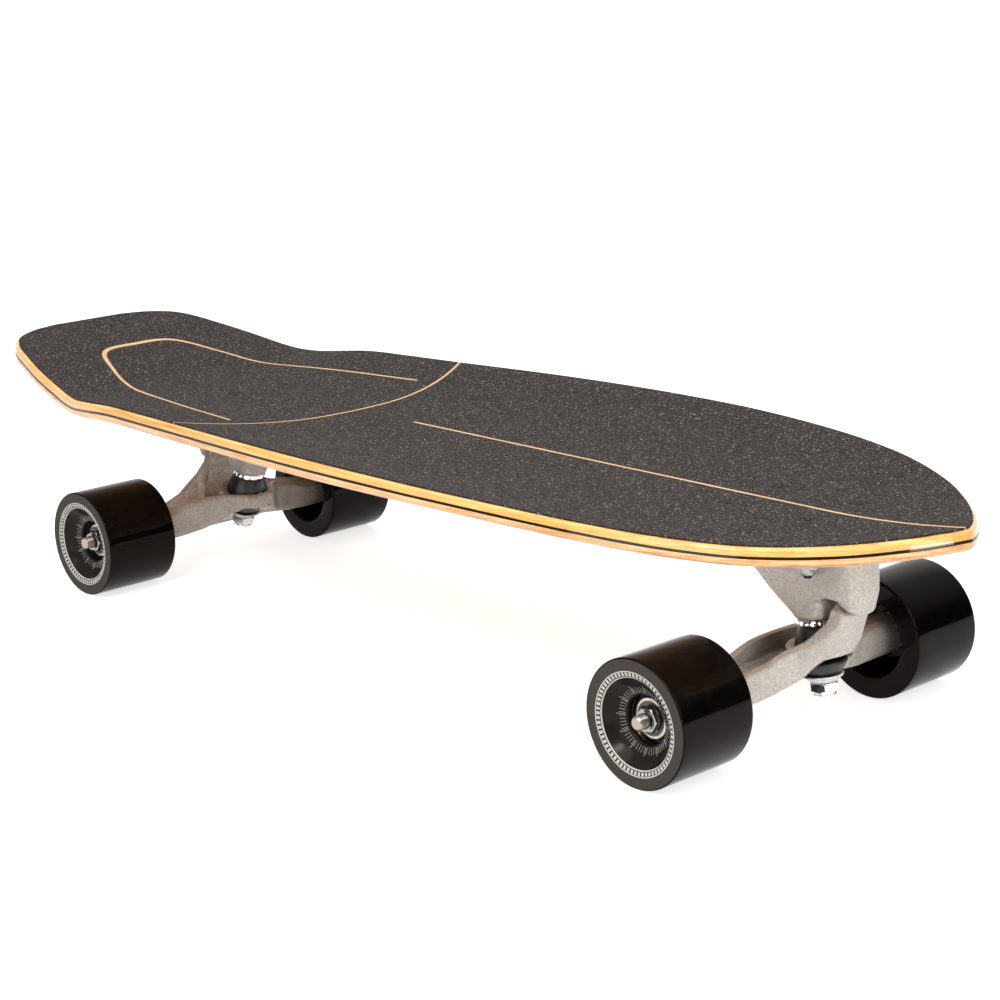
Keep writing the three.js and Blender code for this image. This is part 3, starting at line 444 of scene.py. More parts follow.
# Cast metal with painted shade in its hollows; the hollow attribute is 0 in the open and 1 deep inside the
# casting
def makeCast(name, tint, mottle, shade, inside):
    look = castLook
    paint = Paint(name, {"Metallic": look["metal"]})
    hollow = paint.attribute("hollow")
    grit = paint.noise(*look["grit"])
    blotch = paint.noise(*look["blotch"])
    tones = shades(tint, (mottle, 1, look["lightShare"]))
    colour = blotch.ramp(*zip(look["stops"], tones))
    colour = paint.mix(paint.noise(*look["cloud"]).spread(*look["cloudSpread"]), colour, (*tones[0], 1))
    # Painted light: inside multiplies the colour in the hollows, 2 on the rear casting to lift the shade
    # under the deck
    paintedHollowLight = paint.mix(1.0, colour, inside, "MULTIPLY")
    colour = paint.mix(hollow.spread(*look["hollowLightSpread"]), colour, paintedHollowLight)
    colour = paint.mix(grit.spread(*look["speckSpread"]), colour, look["speck"])
    # Painted shade: darker towards a dark brown where the hollow attribute is high, broken up by the blotch
    # noise
    hollowShade = (hollow + (blotch - 0.5) * look["hollowShadePatch"]).spread(*shade, 0, look["hollowShadeShare"])
    heights = (grit, blotch, paint.cells(look["pits"]))
    height = sum(wire * share for wire, share in zip(heights, look["relief"]))
    return paint.feed({
        "Base Color": paint.mix(hollowShade, colour, look["hollowShade"]),
        "Roughness": blotch.spread(*look["rough"]),
        "Normal": paint.bump(height, *look["bump"]),
    })


zincLook = {
    "smear": (4 * mm, 4, 0.6), "scratch": (0.8 * mm, 3, 0.6), "stops": (0.3, 0.6, 0.8),
    "shares": (0.8, 1, 1.1), "spread": (0.3, 0.7), "roughShares": (1.5, 0.8), "bump": (0.05 * mm, 0.4),
}


def makeZinc(name, tint, rough, metal=1.0):
    look = zincLook
    paint = Paint(name, {"Metallic": metal})
    smear = paint.noise(*look["smear"])
    high, low = look["roughShares"]
    return paint.feed({"Base Color": smear.ramp(*zip(look["stops"], shades(tint, look["shares"]))),
                       "Roughness": smear.spread(*look["spread"], rough * high, rough * low),
                       "Normal": paint.bump(paint.noise(*look["scratch"]), *look["bump"])})


studLook = {
    "metal": 0.9, "smear": (3 * mm, 4, 0.6), "patch": 0.4, "rough": (0.3, 0.7, 0.4, 0.26),
    "bump": (0.04 * mm, 0.4),
}


# Axle steel with dark grease in its threads; the groove attribute is 1 at the bottom of a thread
def makeStud(name, tint, grease):
    look = studLook
    paint = Paint(name, {"Metallic": look["metal"]})
    smear = paint.noise(*look["smear"])
    dirty = (paint.attribute("groove") + (smear - 0.5) * look["patch"]).clamped()
    return paint.feed({"Base Color": paint.mix(dirty, tint, grease),
                       "Roughness": smear.spread(*look["rough"]),
                       "Normal": paint.bump(smear, *look["bump"])})


urethaneLook = {
    "specular": 0.1, "specularTint": (1, 0.86, 0.76, 1),
    "scuff": (6 * mm, 4, 0.65), "fine": (0.7 * mm, 3, 0.6),
    "tread": ((0.35, (0.0015, 0.0012, 0.0012)), (0.75, (0.004, 0.0033, 0.003))),
    "face": ((0.3, (0.042, 0.036, 0.031)), (0.7, (0.058, 0.050, 0.045))),
    "treadRough": (0.3, 0.75, 0.06, 0.13), "faceRough": 0.62, "scuffShare": 0.15, "bump": (0.06 * mm, 0.5),
}


# The face attribute is 1 on the cut outer face, 0 on the tread and between them in the bowl
def makeUrethane(name):
    look = urethaneLook
    paint = Paint(name, {"Specular IOR Level": look["specular"], "Specular Tint": look["specularTint"]})
    face = paint.attribute("face")
    scuff = paint.noise(*look["scuff"])
    fine = paint.noise(*look["fine"])
    height = fine * face + scuff * look["scuffShare"]
    return paint.feed({
        "Base Color": paint.mix(face, scuff.ramp(*look["tread"]), fine.ramp(*look["face"])),
        "Roughness": scuff.spread(*look["treadRough"]) * (1 - face) + face * look["faceRough"],
        "Normal": paint.bump(height, *look["bump"]),
    })


plainLook = {
    "size": 3 * mm, "detail": (4, 0.6), "fineShare": 0.2, "fineDetail": (2, 0.6), "stops": (0.3, 0.7),
    "roughShares": (1.15, 0.85), "bump": (0.04 * mm, 0.5),
}


def makePlain(name, dark, light, rough, size=plainLook["size"], metal=0.0):
    look = plainLook
    paint = Paint(name, {"Metallic": metal})
    tone = paint.noise(size, *look["detail"])
    fine = paint.noise(size * look["fineShare"], *look["fineDetail"])
    high, low = look["roughShares"]
    return paint.feed({"Base Color": tone.ramp(*zip(look["stops"], (dark, light))),
                       "Roughness": tone.spread(*look["stops"], rough * high, rough * low),
                       "Normal": paint.bump(fine, *look["bump"])})


materials = {
    "maple": makeMaple("lacqueredMaple"),
    "grip": makeGrip("charcoalGrip"),
    "bareMaple": makeBareMaple("bareMaple"),
    # One casting in two copies: the rear's darker tint is painted shade from the deck above it, its hollows
    # painted lighter
    "frontCast": makeCast("paleCasting", (0.615, 0.575, 0.53), 0.72, (0.14, 0.75), grey(1)),
    "rearCast": makeCast("warmCasting", (0.455, 0.422, 0.388), 0.66, (0.6, 1.3), grey(2)),
    "zinc": makeZinc("brightZinc", (0.80, 0.82, 0.83), 0.14),
    # Nearly white and barely metallic: the plated washer's bright reflection is painted into its colour
    "washer": makeZinc("platedWasher", (0.96, 0.97, 0.98), 0.12, 0.1),
    "crimped": makeZinc("crimpedWasher", (0.95, 0.95, 0.94), 0.13),
    "axleZinc": makeZinc("axleNutZinc", (0.36, 0.35, 0.34), 0.2),
    "boltZinc": makeZinc("dullZinc", (0.42, 0.41, 0.39), 0.32),
    "race": makeZinc("bearingSteel", (0.50, 0.45, 0.41), 0.2),
    "shield": makeZinc("bearingShield", (0.13, 0.125, 0.12), 0.3),
    "stud": makeStud("axleSteel", (0.40, 0.34, 0.29, 1), (0.02, 0.017, 0.015, 1)),
    "urethane": makeUrethane("castUrethane"),
    "bushing": makePlain("bushingUrethane", (0.008, 0.008, 0.009), (0.015, 0.015, 0.017), 0.36),
    "cup": makePlain("cupNylon", (0.012, 0.012, 0.013), (0.022, 0.022, 0.024), 0.45),
    "black": makePlain("blackSteel", (0.012, 0.012, 0.013), (0.03, 0.03, 0.032), 0.38, metal=0.6),
    "head": makePlain("dustyBoltHead", (0.008, 0.007, 0.0065), (0.022, 0.019, 0.017), 0.85, 1.2 * mm),
    "print": makePlain("paleInk", (0.42, 0.41, 0.37), (0.58, 0.57, 0.52), 0.5, 1 * mm),
}
print("materials made:", len(materials))


# Deck: the same outline and bends as the solid, on a fine grid

deck = {
    "width": 263 * mm, "thickness": 10.5 * mm, "edgeRound": 2.3 * mm, "edgeDrop": 2.6 * mm, "edgeSteps": 5,
    "edgeLean": 0.9 * mm, "leanEnd": 7.4 * mm, "sideShares": (0.42, 0.5, 0.58),
    "concaveDepth": 10.5 * mm, "concaveFlat": 24 * mm, "concaveSoft": 0.1,
    "tailStart": 100 * mm, "tailFull": 210.5 * mm, "noseFull": 264.5 * mm, "noseEnd": 5 * mm,
    "tailKick": (136 * mm, 0.189, 18 * mm), "noseRise": (43 * mm, 0.174, 52 * mm),  # length, slope and blend
    "thinShare": 0.09, "thinStart": 0 * mm, "thinEnd": 200 * mm, "levelHalf": 60 * mm,
    "headRise": 0.9 * mm, "holeRadius": 2.7 * mm, "holeFacets": 24, "toolHeight": 200 * mm,
    "stations": 300, "columns": 36, "sharpAngle": 50,
}
outlineShares = [
    (0, 0.22), (0.0055, 0.38), (0.018, 0.515), (0.036, 0.585), (0.0605, 0.632), (0.098, 0.692),
    (0.149, 0.753), (0.197, 0.823), (0.23, 0.859), (0.268, 0.877), (0.35, 0.915), (0.451, 0.966),
    (0.526, 0.991), (0.602, 1), (0.678, 0.987), (0.753, 0.941), (0.804, 0.886), (0.853, 0.797),
    (0.902, 0.6435), (0.939, 0.456), (0.9625, 0.307), (0.98, 0.175), (0.991, 0.07), (0.9957, 0.006),
]
deckLow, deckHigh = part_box("deck")
tailX, noseX = deckLow.x, deckHigh.x
deckHalf = deck["width"] / 2


# Centripetal curve through the points, with its direction, at even steps of the parameter
def smoothLine(points, count):
    knots = np.array(points, float)
    knots = np.vstack([2 * knots[0] - knots[1], knots, 2 * knots[-1] - knots[-2]])
    places = []
    for share in np.linspace(0, len(points) - 1, count + 1):
        i = min(int(share), len(points) - 2)
        t = share - i
        p0, p1, p2, p3 = knots[i:i + 4]
        d0, d1, d2 = (max(math.sqrt(np.linalg.norm(b - a)), tiny) for a, b in ((p0, p1), (p1, p2), (p2, p3)))
        m1 = ((p1 - p0) / d0 - (p2 - p0) / (d0 + d1) + (p2 - p1) / d1) * d1
        m2 = ((p2 - p1) / d1 - (p3 - p1) / (d1 + d2) + (p3 - p2) / d2) * d1
        bend = (-3 * p1 + 3 * p2 - 2 * m1 - m2) * t ** 2
        places.append(p1 + m1 * t + bend + (2 * p1 - 2 * p2 + m1 + m2) * t ** 3)
    places = np.array(places)
    along = np.gradient(places, axis=0)
    return places, along / np.linalg.norm(along, axis=1, keepdims=True)


outline, outlineAlong = smoothLine(
    [(tailX + a * (noseX - tailX), b * deckHalf) for a, b in outlineShares], deck["stations"],
)
deckPoints = nodePoints("deck")
levelPoints = deckPoints[np.abs(deckPoints[:, 0]) < deck["levelHalf"]]
deckLevel = float(levelPoints[:, 2].min()) + deck["thickness"]


# Level up to the bend, then a slope, with a parabola of twice the blend's length between them
def bendRise(distance, slope, blend):
    bent = slope * (distance + blend) ** 2 / (4 * blend)
    return np.where(distance <= -blend, 0, np.where(distance >= blend, slope * distance, bent))


def concaveShare(x):
    faded = np.clip((deck["noseFull"] - (noseX - x)) / (deck["noseFull"] - deck["noseEnd"]), 0, 1)
    soft = deck["concaveSoft"]
    left = (np.sqrt(1 - faded ** 2 + soft ** 2) - soft) / (math.sqrt(1 + soft ** 2) - soft)
    return eased(x - tailX, deck["tailStart"], deck["tailFull"]) * left


# 0 on the flat strip along the middle, 1 at the widest point of the rail
def railShare(y):
    return np.maximum(0, np.abs(y) - deck["concaveFlat"]) / (deckHalf - deck["concaveFlat"])


def deckTop(x, y):
    kick, slope, blend = deck["tailKick"]
    rise = bendRise(tailX + kick - x, slope, blend)
    length, slope, blend = deck["noseRise"]
    rise = rise + bendRise(x - noseX + length, slope, blend)
    return deckLevel + rise + deck["concaveDepth"] * concaveShare(x) * railShare(y) ** 2


# The edge is a little thinner towards the nose
def edgeThinning(x, y):
    along = eased(x, deck["thinStart"], deck["thinEnd"])
    return 1 - deck["thinShare"] * along * np.minimum(1, railShare(y) * 2) ** 2


def deckRows(inset, depth, columns):
    x = outline[:, 0] + inset * outlineAlong[:, 1]
    half = outline[:, 1] - inset * outlineAlong[:, 0]
    x[0], half[0] = outline[0, 0] + inset, outline[0, 1] - inset / 2
    x[-1], half[-1] = outline[-1, 0] - inset, outline[-1, 1] - inset / 2
    half = np.maximum(half, inset / 4)
    shares = np.sin(np.linspace(-1, 1, columns) * math.pi / 2)
    y = half[:, None] * shares[None, :]
    grid = np.repeat(x[:, None], columns, axis=1)
    return np.stack([grid, y, deckTop(grid, y) - depth * edgeThinning(grid, y)], axis=2)


# A closed sheet from layers of rows, the first on top
def slab(layers):
    rows, columns = layers[0].shape[:2]
    points = np.concatenate([layer.reshape(-1, 3) for layer in layers])
    faces = []

    def at(layer, i, j):
        return (layer * rows + i) * columns + j

    last = len(layers) - 1
    for i in range(rows - 1):
        for j in range(columns - 1):
            faces.append((at(0, i, j), at(0, i + 1, j), at(0, i + 1, j + 1), at(0, i, j + 1)))
            faces.append((at(last, i, j), at(last, i, j + 1), at(last, i + 1, j + 1), at(last, i + 1, j)))
    rim = [(0, j) for j in range(columns - 1)] + [(i, columns - 1) for i in range(rows - 1)]
    rim += [(rows - 1, j) for j in range(columns - 1, 0, -1)] + [(i, 0) for i in range(rows - 1, 0, -1)]
    for layer in range(last):
        for here, there in zip(rim, rim[1:] + rim[:1]):
            faces.append((at(layer, *here), at(layer, *there), at(layer + 1, *there), at(layer + 1, *here)))
    return points, faces


# Inset and depth of each layer of the deck's edge, rounded at both ends and leaning in towards the top
def edgeLayers():
    thick, drop = deck["thickness"], deck["edgeDrop"]
    top = []
    for i in range(deck["edgeSteps"] + 1):
        angle = i * math.pi / 2 / deck["edgeSteps"]
        top.append((deck["edgeRound"] * (1 - math.sin(angle)), drop * (1 - math.cos(angle))))
    bottom = [(inset, thick - depth) for inset, depth in reversed(top)]
    middle = [(0, thick * share) for share in deck["sideShares"]]

    def lean(depth):
        return deck["edgeLean"] * (1 - max(0, depth - drop) / (deck["leanEnd"] - drop))

    return [(inset + lean(depth), depth) for inset, depth in top + middle] + bottom


def cutWith(piece, tools, operation="DIFFERENCE"):
    for tool in tools:
        cut = piece.modifiers.new("cut", "BOOLEAN")
        cut.operation = operation
        cut.solver = "EXACT"
        cut.object = tool
        bakeModifiers(piece)
        bpy.data.objects.remove(tool)


def boxMiddle(node):
    low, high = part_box(node)
    return (low + high) / 2


boltNodes = [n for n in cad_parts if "_bolt_" in n and "_nut_" not in n]
boltNutNodes = [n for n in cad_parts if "_bolt_nut_" in n]
boltPlaces = []
for node in boltNodes:
    x, y, _ = boxMiddle(node)
    boltPlaces.append((x, y, float(deckTop(x, y)) + deck["headRise"]))


def boltHoles(radius):
    profile = [(0, 0), (radius, 0), (radius, deck["toolHeight"]), (0, deck["toolHeight"])]
    hole = turned(profile, deck["holeFacets"])
    parts = [placed(hole, Matrix.Translation((x, y, 0))) for x, y, _ in boltPlaces]
    return meshPiece("holeTool", parts, materials["black"])


def makeDeck():
    layers = edgeLayers()
    rows = [deckRows(inset, depth, deck["columns"]) for inset, depth in layers]
    depths = np.repeat([depth for _, depth in layers], rows[0].shape[0] * rows[0].shape[1])
    piece = meshPiece("deckBoard", [slab(rows)], materials["maple"], deck["sharpAngle"], {"depth": depths})
    cutWith(piece, [boltHoles(deck["holeRadius"])])
    piece.data.set_sharp_from_angle(angle=math.radians(deck["sharpAngle"]))
    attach(piece, "root")
    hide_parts("deck")


makeDeck()
print("deck made")


# Grip: two sheets with the wood showing between them

grip = {
    "thickness": 0.8 * mm, "gap": 0.3 * mm, "border": 3.4 * mm, "line": 2.4 * mm, "columns": 40,
    "stringerLength": 423.5 * mm, "padLineX": -82 * mm, "sweep": 46 * mm,
    "pastRail": 4 * mm, "pastNose": 20 * mm,
    "mouth": (-113.5 * mm, 76.5 * mm), "hip": (-258.5 * mm, 54 * mm), "end": (-330 * mm, 27 * mm),
    "tipX": -333.8 * mm, "sideBow": 2.4 * mm, "endBow": 3.6 * mm, "tipWidth": 4.6 * mm, "tipStart": 0.55,
    "holeRadius": 4.9 * mm, "inlaySink": 0.07 * mm, "inlayPlay": 0.08 * mm, "toolHeight": 300 * mm,
    "crossPoints": 161, "padSteps": 200, "stringerPoints": 260, "sharpAngle": 40,
}


# The sides of a prism between two like rings of points, and its two ends
def prismFaces(count):
    faces = [tuple(reversed(range(count))), tuple(range(count, 2 * count))]
    for k in range(count):
        n = (k + 1) % count
        faces.append((k, n, n + count, k + count))
    return faces


def prismTool(line):
    area = sum(a[0] * b[1] - b[0] * a[1] for a, b in zip(line, line[1:] + line[:1]))
    ring = line if area > 0 else line[::-1]
    points = [(x, y, z) for z in (0, grip["toolHeight"]) for x, y in ring]
    return meshPiece("cutTool", [(np.array(points), prismFaces(len(ring)))], materials["black"])


# The line across the deck, which sweeps back towards the rails
def crossLine():
    shares = np.linspace(1, -1, grip["crossPoints"])
    x = grip["padLineX"] - grip["sweep"] * shares ** 2
    return np.stack([x, (deckHalf + grip["pastRail"]) * shares], axis=1)


def frontRegion(offset):
    curve = [(x + offset, y) for x, y in crossLine()]
    end, reach = noseX + grip["pastRail"], curve[0][1]
    return [(end, -reach), (end, reach), *curve]


def midway(first, second, bulge):
    return ((first[0] + second[0]) / 2, (first[1] + second[1]) / 2 + bulge)


# The line round the tail pad and its width, which grows towards the closed end
def padLine():
    half = [grip["mouth"], midway(grip["mouth"], grip["hip"], grip["sideBow"]), grip["hip"],
            midway(grip["hip"], grip["end"], grip["endBow"]), grip["end"]]
    whole = half + [(grip["tipX"], 0)] + [(x, -y) for x, y in reversed(half)]
    line, along = smoothLine(whole, grip["padSteps"])
    near = eased(1 - np.abs(np.linspace(-1, 1, len(line))), grip["tipStart"], 1)
    return line, along, grip["line"] + (grip["tipWidth"] - grip["line"]) * near


def sideways(along):
    return np.stack([-along[:, 1], along[:, 0]], axis=1)


def padBand():
    line, along, width = padLine()
    across = sideways(along) * width[:, None] / 2
    return [tuple(p) for p in line + across] + [tuple(p) for p in (line - across)[::-1]]


# A strip of bare wood along a line in plan, from the deck's top up to just under the grip's
def stripPart(line, width):
    along = np.gradient(line, axis=0)
    along /= np.linalg.norm(along, axis=1, keepdims=True)
    across = sideways(along) * (width / 2 - grip["inlayPlay"])[:, None]
    left, right = line + across, line - across
    top = grip["thickness"] + grip["gap"] - grip["inlaySink"]
    rings = []
    for edge, lift in ((left, top), (right, top), (right, 0), (left, 0)):
        rings.append(np.column_stack([edge, deckTop(edge[:, 0], edge[:, 1]) + lift]))
    count = len(line)
    faces = []
    for i in range(count - 1):
        for k in range(4):
            n = (k + 1) % 4
            faces.append((k * count + i, n * count + i, n * count + i + 1, k * count + i + 1))
    faces.append(tuple(k * count for k in (3, 2, 1, 0)))
    faces.append(tuple(k * count + count - 1 for k in range(4)))
    return np.concatenate(rings), faces


def insideGrip(line):
    half = np.interp(line[:, 0], outline[:, 0], outline[:, 1]) - grip["border"]
    return line[(np.abs(line[:, 1]) < half) & (line[:, 0] < outline[-1, 0] - grip["border"])]


def makeInlay():
    middle = np.linspace(noseX - grip["stringerLength"], noseX, grip["stringerPoints"])
    stringer = insideGrip(np.column_stack([middle, np.zeros(len(middle))]))
    lines = (stringer, insideGrip(crossLine()))
    parts = [stripPart(line, np.full(len(line), grip["line"])) for line in lines]
    pad, _, padWidth = padLine()
    parts.append(stripPart(pad, padWidth))
    piece = meshPiece("deckInlay", parts, materials["bareMaple"])
    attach(piece, "root")


def gripSlab(name):
    lifts = (grip["thickness"] + grip["gap"], grip["gap"])
    layers = [deckRows(grip["border"], -lift, grip["columns"]) for lift in lifts]
    return meshPiece(name, [slab(layers)], materials["grip"], grip["sharpAngle"])


def makeGrips():
    front = gripSlab("gripFront")
    half = grip["line"] / 2
    cutWith(front, [prismTool(frontRegion(half))], "INTERSECT")
    start, end = noseX - grip["stringerLength"], noseX + grip["pastNose"]
    slit = prismTool([(start, -half), (end, -half), (end, half), (start, half)])
    cutWith(front, [slit, boltHoles(grip["holeRadius"])])
    rear = gripSlab("gripRear")
    cutWith(rear, [prismTool(frontRegion(-half)), prismTool(padBand()), boltHoles(grip["holeRadius"])])
    for piece, node in ((front, "grip_front"), (rear, "grip_rear")):
        piece.data.set_sharp_from_angle(angle=math.radians(grip["sharpAngle"]))
        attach(piece, "root")
        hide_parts(node)


makeGrips()
makeInlay()
print("grip made")


# Castings: a fine skin over the solid, rounded as a tumbled casting is

casting = {
    "voxel": 0.75 * mm, "mergeWithin": 0.001 * mm, "passes": 42, "inward": 0.55, "outward": -0.57,
    "rays": 14, "rayStart": 1 * mm, "rayReach": 45 * mm,
    "padRadius": 7.4 * mm, "padDrop": 6.6 * mm, "padSink": 1 * mm, "padFacets": 48,
    "neckWiden": 2.2 * mm, "neckHalf": 9 * mm, "neckLow": 11 * mm, "neckHigh": 24 * mm, "neckFade": 2 * mm,
    "seatLift": {"front": 3.2 * mm, "rear": 0.6 * mm},
    "liftLow": 3 * mm, "liftHigh": 11 * mm, "liftReach": 42 * mm,
    "slot": [(306 * mm, 66 * mm), (313.5 * mm, 66 * mm), (313.5 * mm, 82 * mm), (310.4 * mm, 83.4 * mm)],
    "slotFrom": 1.5 * mm, "slotTo": 16 * mm, "ridgeWide": 8 * mm,
    "ridge": [(-237 * mm, -19.5 * mm, 44 * mm, 5.2 * mm), (-237 * mm, -16 * mm, 54 * mm, 4.8 * mm),
              (-237.5 * mm, -11.5 * mm, 63 * mm, 3.4 * mm), (-238 * mm, -8 * mm, 69 * mm, 1.6 * mm)],
}


# Cast pads that the bolt nuts sit on
def nutPads(truck):
    radius = casting["padRadius"]
    parts = []
    for node in boltNutNodes:
        x, y, _ = boxMiddle(node)
        if x * trucks[truck] > 0:
            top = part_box(node)[1].z
            low, high = top - casting["padDrop"], top + casting["padSink"]
            pad = turned([(0, low), (radius, low), (radius, high), (0, high)], casting["padFacets"])
            parts.append(placed(pad, Matrix.Translation((x, y, 0))))
    return parts


# Openings in the front base between its boss and the pivot's housing
def slotTools():
    near, far = casting["slotFrom"], casting["slotTo"]
    tools = []
    for pair in ((-far, -near), (near, far)):
        points = [(x, y, z) for y in reversed(pair) for x, z in casting["slot"]]
        part = (np.array(points), prismFaces(len(casting["slot"])))
        tools.append(meshPiece("slotTool", [part], materials["black"]))
    return tools


# A ridge up each side of the rear hanger's web
def ridgeParts():
    wide = Vector((0, casting["ridgeWide"] / 2, 0))
    parts = []
    for turn in (1, -1):
        points = []
        for x, y, z, tall in casting["ridge"]:
            middle, out = Vector((x, y * turn, z)), Vector((tall, 0, 0))
            points += [middle + wide - out, middle - wide - out, middle + out]
        faces = [(2, 1, 0), tuple(len(points) - k for k in (3, 2, 1))]
        for i in range(0, len(points) - 3, 3):
            for k in range(3):
                n = (k + 1) % 3
                faces.append((i + k, i + n, i + n + 3, i + k + 3))
        parts.append((np.array(points), faces))
    return parts


# Widens the hanger's neck, from the arms' top up to the pivot's shoulder, and raises the wall round its seat
def shapeHanger(mesh, truck):
    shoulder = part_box(f"{truck}_pivot_cup")[0].z + casting["neckFade"]
    points = meshPoints(mesh)
    height = points[:, 2] - boxMiddle(f"{truck}_axle").z
    rise = eased(height, casting["neckLow"], casting["neckHigh"])
    fade = np.clip((shoulder - points[:, 2]) / casting["neckFade"], 0, 1)
    share = np.clip(points[:, 1] / casting["neckHalf"], -1, 1)
    points[:, 1] += casting["neckWiden"] * share * rise * fade
    near = 1 - np.clip(np.abs(points[:, 1]) / casting["liftReach"], 0, 1) ** 2
    lift = eased(height, casting["liftLow"], casting["liftHigh"]) * near * near * (1 - rise)
    points += (casting["seatLift"][truck] * lift)[:, None] * kingpinAxis(truck)[1]
    movePoints(mesh, points)


def makeCasting(name, node, body, material, extras=(), truck=None, cuts=()):
    source = bmesh.new()
    source.from_mesh(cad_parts[node].data)
    bmesh.ops.remove_doubles(source, verts=source.verts, dist=casting["mergeWithin"])
    if extras:
        added = meshPiece("padTool", extras, material)
        source.from_mesh(added.data)
        bpy.data.objects.remove(added)
    mesh = bpy.data.meshes.new(name)
    source.to_mesh(mesh)
    source.free()
    piece = bpy.data.objects.new(name, mesh)
    bpy.context.scene.collection.objects.link(piece)
    if cuts:
        cutWith(piece, cuts)
    remesh = piece.modifiers.new("skin", "REMESH")
    remesh.mode = "VOXEL"
    remesh.voxel_size = casting["voxel"] * 1
    bakeModifiers(piece)
    softenMesh(piece.data, casting["passes"])
    if truck:
        shapeHanger(piece.data, truck)
    markHollows(piece.data, mesh)
    piece.data.shade_smooth()
    piece.data.materials.clear()
    piece.data.materials.append(material)
    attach(piece, body)
    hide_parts(node)


# Stores how much of the casting stands in the way of each point's view outwards, which the castings' painted
# shade follows
def markHollows(mesh, blocker):
    blocks = bmesh.new()
    blocks.from_mesh(blocker)
    tree = BVHTree.FromBMesh(blocks)
    blocks.free()
    golden = math.pi * (3 - math.sqrt(5))
    spread = []
    for i in range(casting["rays"]):
        rise = math.sqrt((i + 0.5) / casting["rays"])
        flat = math.sqrt(1 - rise * rise)
        spread.append(Vector((flat * math.cos(golden * i), flat * math.sin(golden * i), rise)))
    shares = np.zeros(len(mesh.vertices), np.float32)
    for vertex in mesh.vertices:
        turn = vertex.normal.to_track_quat("Z", "Y")
        start = vertex.co + vertex.normal * casting["rayStart"]
        hits = [tree.ray_cast(start, turn @ direction, casting["rayReach"])[0] for direction in spread]
        shares[vertex.index] = sum(hit is not None for hit in hits) / len(spread)
    mesh.attributes.new("hollow", "FLOAT", "POINT").data.foreach_set("value", shares)


# Smooths without shrinking: each pass pulls in and pushes back out
def softenMesh(mesh, passes):
    points = meshPoints(mesh)
    count = len(points)
    edges = np.zeros(len(mesh.edges) * 2, int)
    mesh.edges.foreach_get("vertices", edges)
    a, b = edges.reshape(-1, 2).T
    degree = np.maximum(np.bincount(a, minlength=count) + np.bincount(b, minlength=count), 1)
    for _ in range(passes):
        for strength in (casting["inward"], casting["outward"]):
            total = np.stack([
                np.bincount(a, points[b, k], count) + np.bincount(b, points[a, k], count) for k in range(3)
            ], axis=1)
            points += strength * (total / degree[:, None] - points)
    movePoints(mesh, points)


for truck in trucks:
    makeCasting(f"{truck}BaseCasting", f"{truck}_baseplate", "root", materials[f"{truck}Cast"],
                nutPads(truck), cuts=slotTools() if truck == "front" else ())
    makeCasting(f"{truck}HangerCasting", f"{truck}_hanger", f"{truck}_truck", materials[f"{truck}Cast"],
                ridgeParts() if truck == "rear" else (), truck)
print("castings made")


# Kingpins, bushings, washers and nuts, each along its kingpin

kingpin = {
    "radius": 4.76 * mm, "threadPitch": 1.2 * mm, "threadDepth": 0.35 * mm, "threadLow": 0.8 * mm,
    "threadHigh": 14 * mm, "threadRows": 6, "tipIn": 0.9 * mm, "tipOut": 0.2 * mm, "tipRise": 0.7 * mm,
    "headTall": 6 * mm, "headChamfer": 0.8 * mm, "across": 14.3 * mm, "nutPlay": 0.1 * mm, "facets": 48,
    "nutTurn": {"front": -18, "rear": -8}, "play": 0.2 * mm,  # nutTurn is in degrees
}
nutForm = {
    "chamfer": 0.9 * mm, "chamferShares": (0.25, 0.5, 0.75), "cornerPlay": 0.1 * mm, "sideRows": 4,
    "footShare": 0.97, "topShare": 0.95, "collarShare": 0.40, "collarHeight": 1.8 * mm,
    "collarStep": 0.15 * mm, "lipHeight": 0.7 * mm, "lipWidth": 0.8 * mm,
    "mouthOut": 1.35 * mm, "mouthIn": 0.95 * mm,
    "mouthDrop": 0.4 * mm, "boreDrop": 0.5 * mm,
}
washer = {
    "base": 7.8 * mm, "crimpedBase": 10.4 * mm, "rim": 11.25 * mm, "wall": 1.2 * mm, "footBend": 1.2 * mm,
    "footOut": 0.5 * mm, "footRise": 0.7 * mm, "wallShares": (0.4, 0.7), "rimDrop": 0.6 * mm,
    "rimLean": 0.1 * mm, "innerRise": 0.6 * mm, "innerTop": 0.2 * mm, "innerFoot": 1.4 * mm,
    "dents": 11, "dentDepth": 1.1 * mm, "dentPower": 0.6, "facets": 132,
}
bushing = {
    "wide": 13.7 * mm, "neck": 10.2 * mm, "foot": 7 * mm, "cup": 3.6 * mm,
    "footOut": 2.4 * mm, "footDrop": 1 * mm,
    "bulge": 0.3 * mm, "rows": 9, "edge": 1.6 * mm, "boreShares": (0.75, 0.5, 0.25),
    "footHold": 2 * mm, "seatHold": 1 * mm,
}


# A hexagon nut with a round locking collar on top
def nutParts(across, low, high, hole):
    form = nutForm
    chamfer, shares = form["chamfer"], form["chamferShares"]
    flat, corner, collar = across / 2, across / math.sqrt(3), across * form["collarShare"]
    shoulder = high - form["collarHeight"]
    sides = np.linspace(low + chamfer, shoulder - chamfer, form["sideRows"])
    profile = [(hole, low), (flat * form["footShare"], low)]
    profile += [(flat + (corner - flat) * s, low + chamfer * s) for s in shares]
    profile += [(corner + form["cornerPlay"], h) for h in sides]
    profile += [(flat + (corner - flat) * s, shoulder - chamfer * s) for s in reversed(shares)]
    profile += [(flat * form["topShare"], shoulder), (collar, shoulder + form["collarStep"])]
    profile += rounded((collar, high - form["lipHeight"]), (collar, high), (collar - form["lipWidth"], high))
    profile += [(hole + form["mouthOut"], high), (hole + form["mouthIn"], high - form["mouthDrop"])]
    return turned(profile + [(hole, high - form["boreDrop"])], limit=hexLimit(across))


def flip(low, high):
    return Matrix.Translation((0, 0, low + high)) @ Matrix.Diagonal((1, -1, -1, 1))


